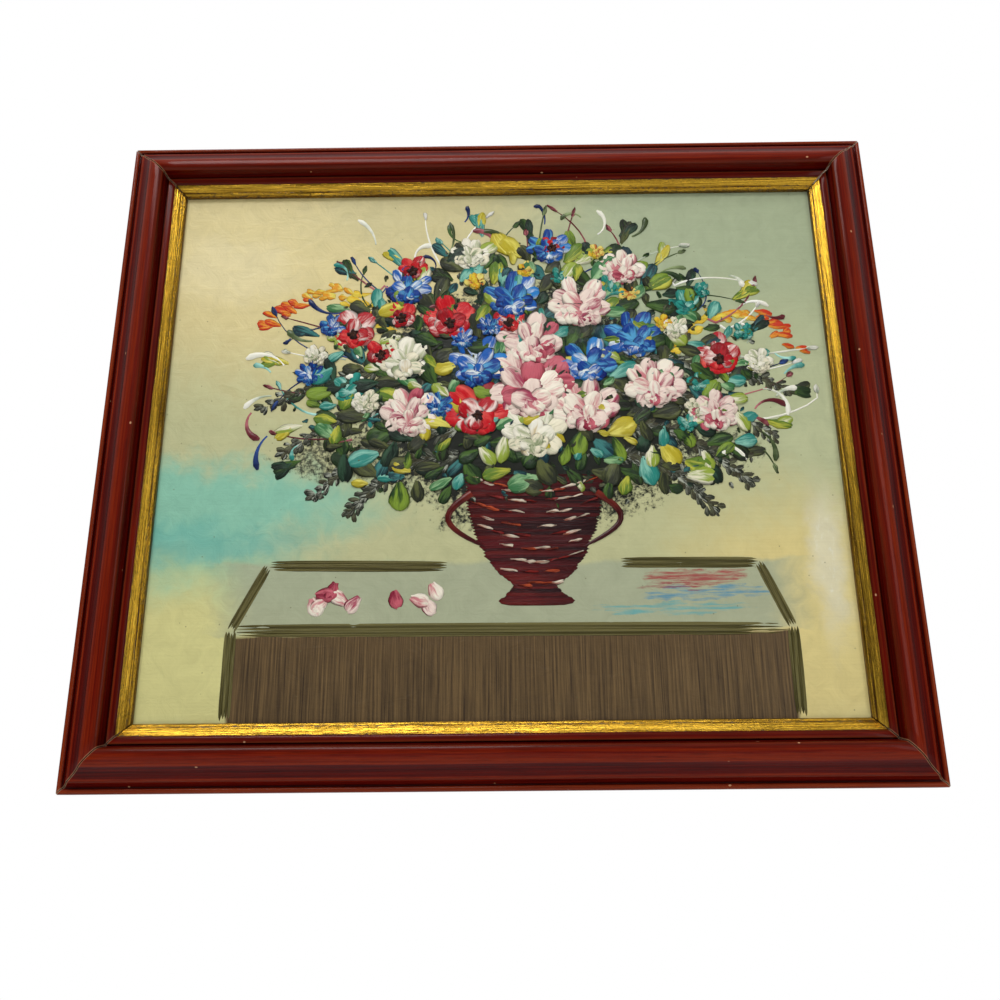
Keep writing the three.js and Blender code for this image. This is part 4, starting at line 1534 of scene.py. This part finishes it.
@dataclass
class KnifeWork:
    """Turns strokes into thick paint on the board's face."""

    face: Vector
    paint: bpy.types.Material
    rows: int = 8
    touch_rows: int = 6
    columns: int = 4
    foot: float = 0.6
    drag: float = 2.2
    stroke_drag: float = 0.5
    furrow_scale: Point = (1.6, 0.9, 1.0)
    furrow_depth: Ramp = (0.3, 0.7, 0.6, 1.2)
    thread_sides: int = 7
    thread_flatten: float = 0.6
    stroke_seed: float = 7.31
    thread_seed: float = 5.17
    kind_seed: float = 3.0

    def template(self, kind: DabKind) -> bpy.types.Object:
        """Makes one press of the knife, of unit size, its head up and its thickness towards -Y.

        Args:
            kind: Shape of the press.

        Returns:
            An object with a closed mesh that carries each point's own place in the stroke.
        """
        dab: list[Point] = []

        def front(across: float, up: float) -> Point:
            """Gives one point of the paint's face and keeps its place in the stroke."""
            s, t = 0.5 - 0.5 * math.cos(math.pi * up), 2 * across - 1
            dab.append((t, s * 2, 0.0))
            return self.half_width(kind, s) * t, -self.height(kind, s, t), s - 0.5

        rows = self.touch_rows if kind is DabKind.TOUCH else self.rows
        points, faces, stands_on = slab(rows, self.columns, front, self.foot)
        mesh = bpy.data.meshes.new(f"{kind.value}_template")
        mesh.from_pydata(points, [], faces)
        carry_vectors(mesh, dab=[dab[k] for k in stands_on])
        face_outwards(mesh, crease_deg=180)
        template = bpy.data.objects.new(mesh.name, mesh)
        bpy.context.scene.collection.objects.link(template)
        return template

    @staticmethod
    def half_width(kind: DabKind, s: float) -> float:
        """Gives half the width of a stroke one wide, at a share of its length from tail to head."""
        if kind is DabKind.PETAL:
            return 0.5 * max(0.08, math.sin(math.pi * min(1, 0.06 + 0.9 * s**1.5)) ** 0.5)
        if kind in (DabKind.LEAF, DabKind.TOUCH):
            return 0.5 * max(0.07, math.sin(math.pi * (0.03 + 0.93 * s**1.45)) ** 0.6)
        if kind is DabKind.BUD:
            return 0.5 * max(0.1, math.sin(math.pi * (0.04 + 0.92 * s)) ** 0.6)
        return 0.5 * (1 - abs(2 * s - 1) ** 6) ** 0.5 + 0.03

    @staticmethod
    def height(kind: DabKind, s: float, t: float) -> float:
        """Gives the paint's height at a place in a stroke one thick.

        Args:
            kind: Shape of the press.
            s: Share of the length from tail to head.
            t: Place across, from -1 to 1.

        Returns:
            The height.
        """
        if kind is DabKind.BUD:
            return math.sqrt(max(0.0, 1 - t * t)) * math.sin(math.pi * (0.05 + 0.9 * s)) ** 0.6 + 0.05
        fall = (0.25 if abs(t) > 0.9 else 1.0) * min(1.0, (1 - s) * 9 + 0.15) * min(1.0, s * 7 + 0.1)
        if kind is DabKind.PETAL:
            return fall * (0.22 + 0.5 * s + 0.4 * s**4) * (0.55 + 0.7 * abs(t))
        if kind in (DabKind.LEAF, DabKind.TOUCH):
            return fall * (0.45 + 0.55 * s) * (0.5 + 0.6 * abs(t - 0.25))
        return fall * (0.75 + 0.25 * math.cos(7 * t))

    @staticmethod
    def painted(bench: Bench, shape: Socket, target: Socket, paint: Socket) -> None:
        """Ends a geometry tree: moves the shape to its target and gives it its paint."""
        placed = bench.add("GeometryNodeSetPosition", {"Geometry": shape, "Position": target})
        solid = bench.add("GeometryNodeRealizeInstances", {0: placed.outputs[0]})
        inputs = {"Geometry": solid.outputs[0], "Material": paint}
        bench.add("NodeGroupOutput", {0: bench.add("GeometryNodeSetMaterial", inputs).outputs[0]})

    def dab_tree(self) -> Bench:
        """Builds the tree that presses one template on every stroke's point and drags its surface."""
        dabs, given = geometry_bench("knife_dabs", {"Dab": "Object", "Drag": "Float", "Seed": "Float",
                                                    "Paint": "Material"})
        template = dabs.add("GeometryNodeObjectInfo", {"Object": given["Dab"]})
        turned = dabs.add("FunctionNodeEulerToRotation", {0: dabs.stored("turn", "FLOAT_VECTOR")})
        pressed = dabs.add("GeometryNodeInstanceOnPoints", {
            "Points": given["Geometry"], "Instance": template.outputs["Geometry"],
            "Rotation": turned.outputs[0], "Scale": dabs.stored("size", "FLOAT_VECTOR"),
        })
        solid = dabs.add("GeometryNodeRealizeInstances", {0: pressed.outputs[0]})
        apart = dabs.math("ADD", dabs.stored("seed"), given["Seed"])
        place = dabs.vector("MULTIPLY_ADD", dabs.stored("dab", "FLOAT_VECTOR"), self.furrow_scale, apart)
        furrow = dabs.noise(place, 2.0, 0.5)
        x, y, z = dabs.parts(dabs.add("GeometryNodeInputPosition").outputs[0])
        raised = dabs.math("MULTIPLY", y, dabs.between(furrow, *self.furrow_depth))
        wobble = dabs.vector("SUBTRACT", furrow.node.outputs["Color"], (0.5, 0.5, 0.5))
        push = dabs.parts(dabs.vector("MULTIPLY", wobble, given["Drag"]))
        target = dabs.joined(dabs.math("ADD", x, push[0]), raised, dabs.math("ADD", z, push[1]))
        self.painted(dabs, solid.outputs[0], target, given["Paint"])
        return dabs

    def thread_tree(self) -> Bench:
        """Builds the tree that draws a flattened line of paint along each path."""
        threads, given = geometry_bench("paint_threads", {"Sides": "Int", "Flatten": "Float",
                                                          "Paint": "Material"})
        path = threads.add("GeometryNodeMeshToCurve", {"Mesh": given["Geometry"]})
        ring = threads.add("GeometryNodeCurvePrimitiveCircle", {"Resolution": given["Sides"], "Radius": 1.0})
        thread = threads.add("GeometryNodeCurveToMesh", {
            "Curve": path.outputs[0], "Profile Curve": ring.outputs[0], "Scale": threads.stored("girth"),
            "Fill Caps": True,
        })
        x, y, z = threads.parts(threads.add("GeometryNodeInputPosition").outputs[0])
        target = threads.joined(x, threads.math("MULTIPLY", y, given["Flatten"]), z)
        self.painted(threads, thread.outputs[0], target, given["Paint"])
        return threads

    def points(self, name: str, strokes: list[Stroke]) -> bpy.types.Mesh:
        """Makes one bare point for each stroke, with its turn, size and colours."""
        mesh = bpy.data.meshes.new(name)
        mesh.from_pydata([(s.across * MM, -s.lift * MM, s.up * MM) for s in strokes], [], [])
        carry_vectors(mesh, turn=[(0.0, s.turn, 0.0) for s in strokes],
                      size=[(s.width * MM, s.thickness * MM, s.length * MM) for s in strokes])
        carry_floats(mesh, seed=[self.stroke_seed * i for i in range(len(strokes))])
        carry_paint(mesh, [s.colours for s in strokes])
        return mesh

    def paths(self, name: str, threads: list[Thread]) -> bpy.types.Mesh:
        """Makes one run of edges for each line, with its girth and colours."""
        points, edges, girths, places, seeds, colours = [], [], [], [], [], []
        for number, thread in enumerate(threads):
            first, last = len(points), len(thread.path) - 1
            points += [(across * MM, 0.0, up * MM) for across, up in thread.path]
            edges += [(first + k, first + k + 1) for k in range(last)]
            girths += [thread.girth_at(k / last) * MM for k in range(last + 1)]
            places += [(0.0, 2 * k / last, 0.0) for k in range(last + 1)]
            seeds += [self.thread_seed * number] * (last + 1)
            colours += [thread.colours] * (last + 1)
        mesh = bpy.data.meshes.new(name)
        mesh.from_pydata(points, edges, [])
        carry_floats(mesh, girth=girths, seed=seeds)
        carry_vectors(mesh, dab=places)
        carry_paint(mesh, colours)
        return mesh

    def build(self, bouquet: Bouquet) -> None:
        """Draws every line and presses every stroke on.

        Args:
            bouquet: The composed design.
        """
        lines = grown(self.paths("thread_paths", bouquet.threads), self.thread_tree(),
                      {"Sides": self.thread_sides, "Flatten": self.thread_flatten, "Paint": self.paint},
                      "painted_lines")
        lines.transform(Matrix.Translation(self.face))
        face_outwards(lines, crease_deg=60)
        put(lines, "painted_board")
        tree = self.dab_tree()
        names = {DabKind.PETAL: "painted_petals", DabKind.LEAF: "painted_leaves",
                 DabKind.STROKE: "painted_strokes", DabKind.BUD: "painted_buds",
                 DabKind.TOUCH: "painted_touches"}
        for number, (kind, name) in enumerate(names.items()):
            strokes = [s for s in bouquet.strokes if s.kind is kind]
            template = self.template(kind)
            drag = self.stroke_drag if kind is DabKind.STROKE else self.drag
            values = {"Dab": template, "Drag": drag * MM, "Seed": self.kind_seed * number,
                      "Paint": self.paint}
            mesh = grown(self.points(f"{kind.value}_points", strokes), tree, values, name)
            bpy.data.objects.remove(template)
            mesh.transform(Matrix.Translation(self.face))
            mesh.shade_smooth()
            put(mesh, "painted_board")


@dataclass
class PaintedBoard:
    """The hardboard panel with its brushed ground."""

    low: Vector
    high: Vector
    front: float
    columns: int = 120
    rows: int = 100
    brush_height: float = 0.09
    broad_waves: Point = (60.0, 260.0, 2.0)
    fine_waves: Point = (190.0, 150.0, 7.0)
    fine_share: float = 0.6

    def build(self, ground: bpy.types.Material, back: bpy.types.Material) -> None:
        """Builds the panel: a finely divided painted front, plain edges and back.

        Args:
            ground: Finish of the painted front.
            back: Finish of the edges and the back.
        """
        size = self.high - self.low

        def brushed(across: float, up: float) -> Point:
            """Gives one point of the front, lifted a little as the brush left it."""
            x, z = self.low.x + size.x * across, self.low.z + size.z * up
            broad, fine = (noise.noise(Vector((x * waves[0], z * waves[1], waves[2])))
                           for waves in (self.broad_waves, self.fine_waves))
            return x, self.front - self.brush_height * MM * (broad + self.fine_share * fine), z

        points, faces, _ = slab(self.rows, self.columns, brushed, self.high.y)
        mesh = bpy.data.meshes.new("oil_board")
        mesh.from_pydata(points, [], faces)
        mesh.materials.append(ground)
        mesh.materials.append(back)
        for index, face in enumerate(mesh.polygons):
            face.material_index = 0 if index < self.rows * self.columns else 1
        face_outwards(mesh, crease_deg=40)
        put(mesh, "painted_board", "painted_board")


@dataclass
class Fixings:
    """The plain hidden hardware: joining nails, framer's points, the hanger and its nails."""

    steel: bpy.types.Material
    brassed: bpy.types.Material

    def dress(self) -> None:
        """Gives each carried-over node its finish."""
        finishes = {("v_nail", "framer_point"): self.steel, ("sawtooth", "hanger_nail"): self.brassed}
        for starts, finish in finishes.items():
            for name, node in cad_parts.items():
                if name.startswith(starts):
                    node.data.materials.clear()
                    node.data.materials.append(finish)
                    log.info("%s: %s", name, finish.name)


@dataclass
class Studio:
    """Pale floor, soft lights and the camera at the photographed angle."""

    middle: Vector
    floor_drop: float = 0.42
    floor_size: float = 6.0
    camera_place: Point = (0.0032, -0.4033, -0.2925)
    camera_turn: Point = (107.41, 0.46, 0.57)
    lens: float = 34.2
    background: float = 1.0
    ambient: tuple[float, float] = (0.1, 0.55)
    horizon: tuple[float, float] = (-0.1, 0.9)
    fade: tuple[float, float] = (1.0, 2.0)
    lights: tuple[tuple[str, Point, float, float], ...] = (
        ("key_light", (-0.3, -0.85, 1.05), 0.7, 12.5),
        ("fill_light", (0.85, -1.0, 0.15), 0.6, 2.4),
        ("back_light", (0.3, 1.2, 0.7), 1.0, 9.0),
    )

    def floor(self) -> None:
        """Lays a large pale floor below the hanging picture, which turns white far off."""
        pale = Finish("matte_pale_floor")
        place = pale.object_place()
        mottle = pale.noise(place, 4.0, 0.5, 3.0)
        material = pale.done({"Base Color": pale.blend(mottle, "#f4f4f2", "#fbfbfa"), "Roughness": 0.9})
        seen = pale.add("ShaderNodeLightPath").outputs["Is Camera Ray"]
        far = pale.between(pale.vector("LENGTH", place), *self.fade, smooth=True)
        glow = pale.add("ShaderNodeEmission", {"Color": "#ffffff", "Strength": self.background})
        surface = pale.tree.nodes["Principled BSDF"].outputs[0]
        glowing = pale.math("MULTIPLY", far, seen)
        blend = pale.add("ShaderNodeMixShader", {0: glowing, 1: surface, 2: glow.outputs[0]})
        pale.tree.links.new(blend.outputs[0], pale.tree.nodes["Material Output"].inputs["Surface"])
        mesh = bpy.data.meshes.new("pale_floor")
        size, z = self.floor_size, CAD_BOX[0][2] - self.floor_drop
        corners = [(-size, -size, z), (size, -size, z), (size, size, z), (-size, size, z)]
        mesh.from_pydata(corners, [], [(0, 1, 2, 3)])
        mesh.materials.append(material)
        floor = bpy.data.objects.new("pale_floor", mesh)
        bpy.context.scene.collection.objects.link(floor)
        floor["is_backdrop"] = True

    def light(self, name: str, place: Point, size: float, power: float) -> None:
        """Hangs one soft square light that faces the picture.

        Args:
            name: Light's name.
            place: Where it hangs, from the picture's middle, in metres.
            size: Its side in metres.
            power: Its power in watts.
        """
        data = bpy.data.lights.new(name, "AREA")
        data.shape = "SQUARE"
        data.size = size
        data.energy = power
        lamp = bpy.data.objects.new(name, data)
        lamp.location = self.middle + Vector(place)
        lamp.rotation_euler = (-Vector(place)).to_track_quat("-Z", "Y").to_euler()
        bpy.context.scene.collection.objects.link(lamp)

    def world(self) -> None:
        """Sets a white background with a dimmer surrounding light that grows towards the top."""
        world = bpy.data.worlds.new("white_studio")
        bpy.context.scene.world = world
        world.use_nodes = True
        world.node_tree.nodes.clear()
        sky = Bench(world.node_tree)
        seen = sky.add("ShaderNodeLightPath").outputs["Is Camera Ray"]
        height = sky.parts(sky.add("ShaderNodeTexCoord").outputs["Generated"])[2]
        dim = sky.between(height, *self.horizon, *self.ambient, smooth=True)
        strength = sky.add("ShaderNodeMix", {0: seen, 2: dim, 3: self.background}, data_type="FLOAT")
        glow = sky.add("ShaderNodeBackground", {"Color": "#ffffff", "Strength": strength.outputs[0]})
        sky.add("ShaderNodeOutputWorld", {"Surface": glow.outputs[0]})

    def camera(self) -> None:
        """Sets the camera low in front of the picture, looking up at it."""
        data = bpy.data.cameras.new("camera")
        data.lens = self.lens
        data.sensor_width = 36.0
        data.clip_start = 0.01
        camera = bpy.data.objects.new("camera", data)
        camera.location = self.camera_place
        camera.rotation_euler = [math.radians(angle) for angle in self.camera_turn]
        bpy.context.scene.collection.objects.link(camera)
        bpy.context.scene.camera = camera

    def build(self) -> None:
        """Sets up the whole studio."""
        self.floor()
        self.world()
        for light in self.lights:
            self.light(*light)
        self.camera()
        bpy.context.scene.view_settings.view_transform = "Standard"


def write_sizes() -> None:
    """Lays the visual model's box beside the CAD box as plain lists."""
    boxes = {"cad": CAD_BOX, "visual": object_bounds()}
    plain = {name: [[float(c) for c in corner] for corner in box] for name, box in boxes.items()}


def main() -> None:
    """Builds the object's pieces in order, then the studio."""
    logging.basicConfig(level=logging.INFO, format="%(name)s %(message)s")
    top, bottom, left, right = (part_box(f"rail_{side}") for side in ("top", "bottom", "left", "right"))
    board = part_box("painted_board")
    width = right[1].x - left[0].x
    height = top[1].z - bottom[0].z
    middle = Vector(((right[1].x + left[0].x) / 2, 0, (top[1].z + bottom[0].z) / 2))
    front = board[1].y - BOARD_THICKNESS

    finishes = StainedWood().build(), GiltFoil().build(), RawWood().build()
    MitredFrame(width, height, top[1].y, middle).build(*finishes)
    PaintedBoard(board[0], board[1], front).build(OilGround(middle).build(), Hardboard().build())
    bouquet = Bouquet()
    bouquet.compose()
    KnifeWork(Vector((middle.x, front, middle.z)), KnifePaint().build()).build(bouquet)
    Fixings(PlatedSteel("zinc_plated_steel", "#a9abad", "#7d7f80").build(),
            PlatedSteel("brassed_steel", "#c9a45a", "#8a6a35").build()).dress()
    Studio(middle).build()
    write_sizes()


if __name__ == "__main__":
    main()
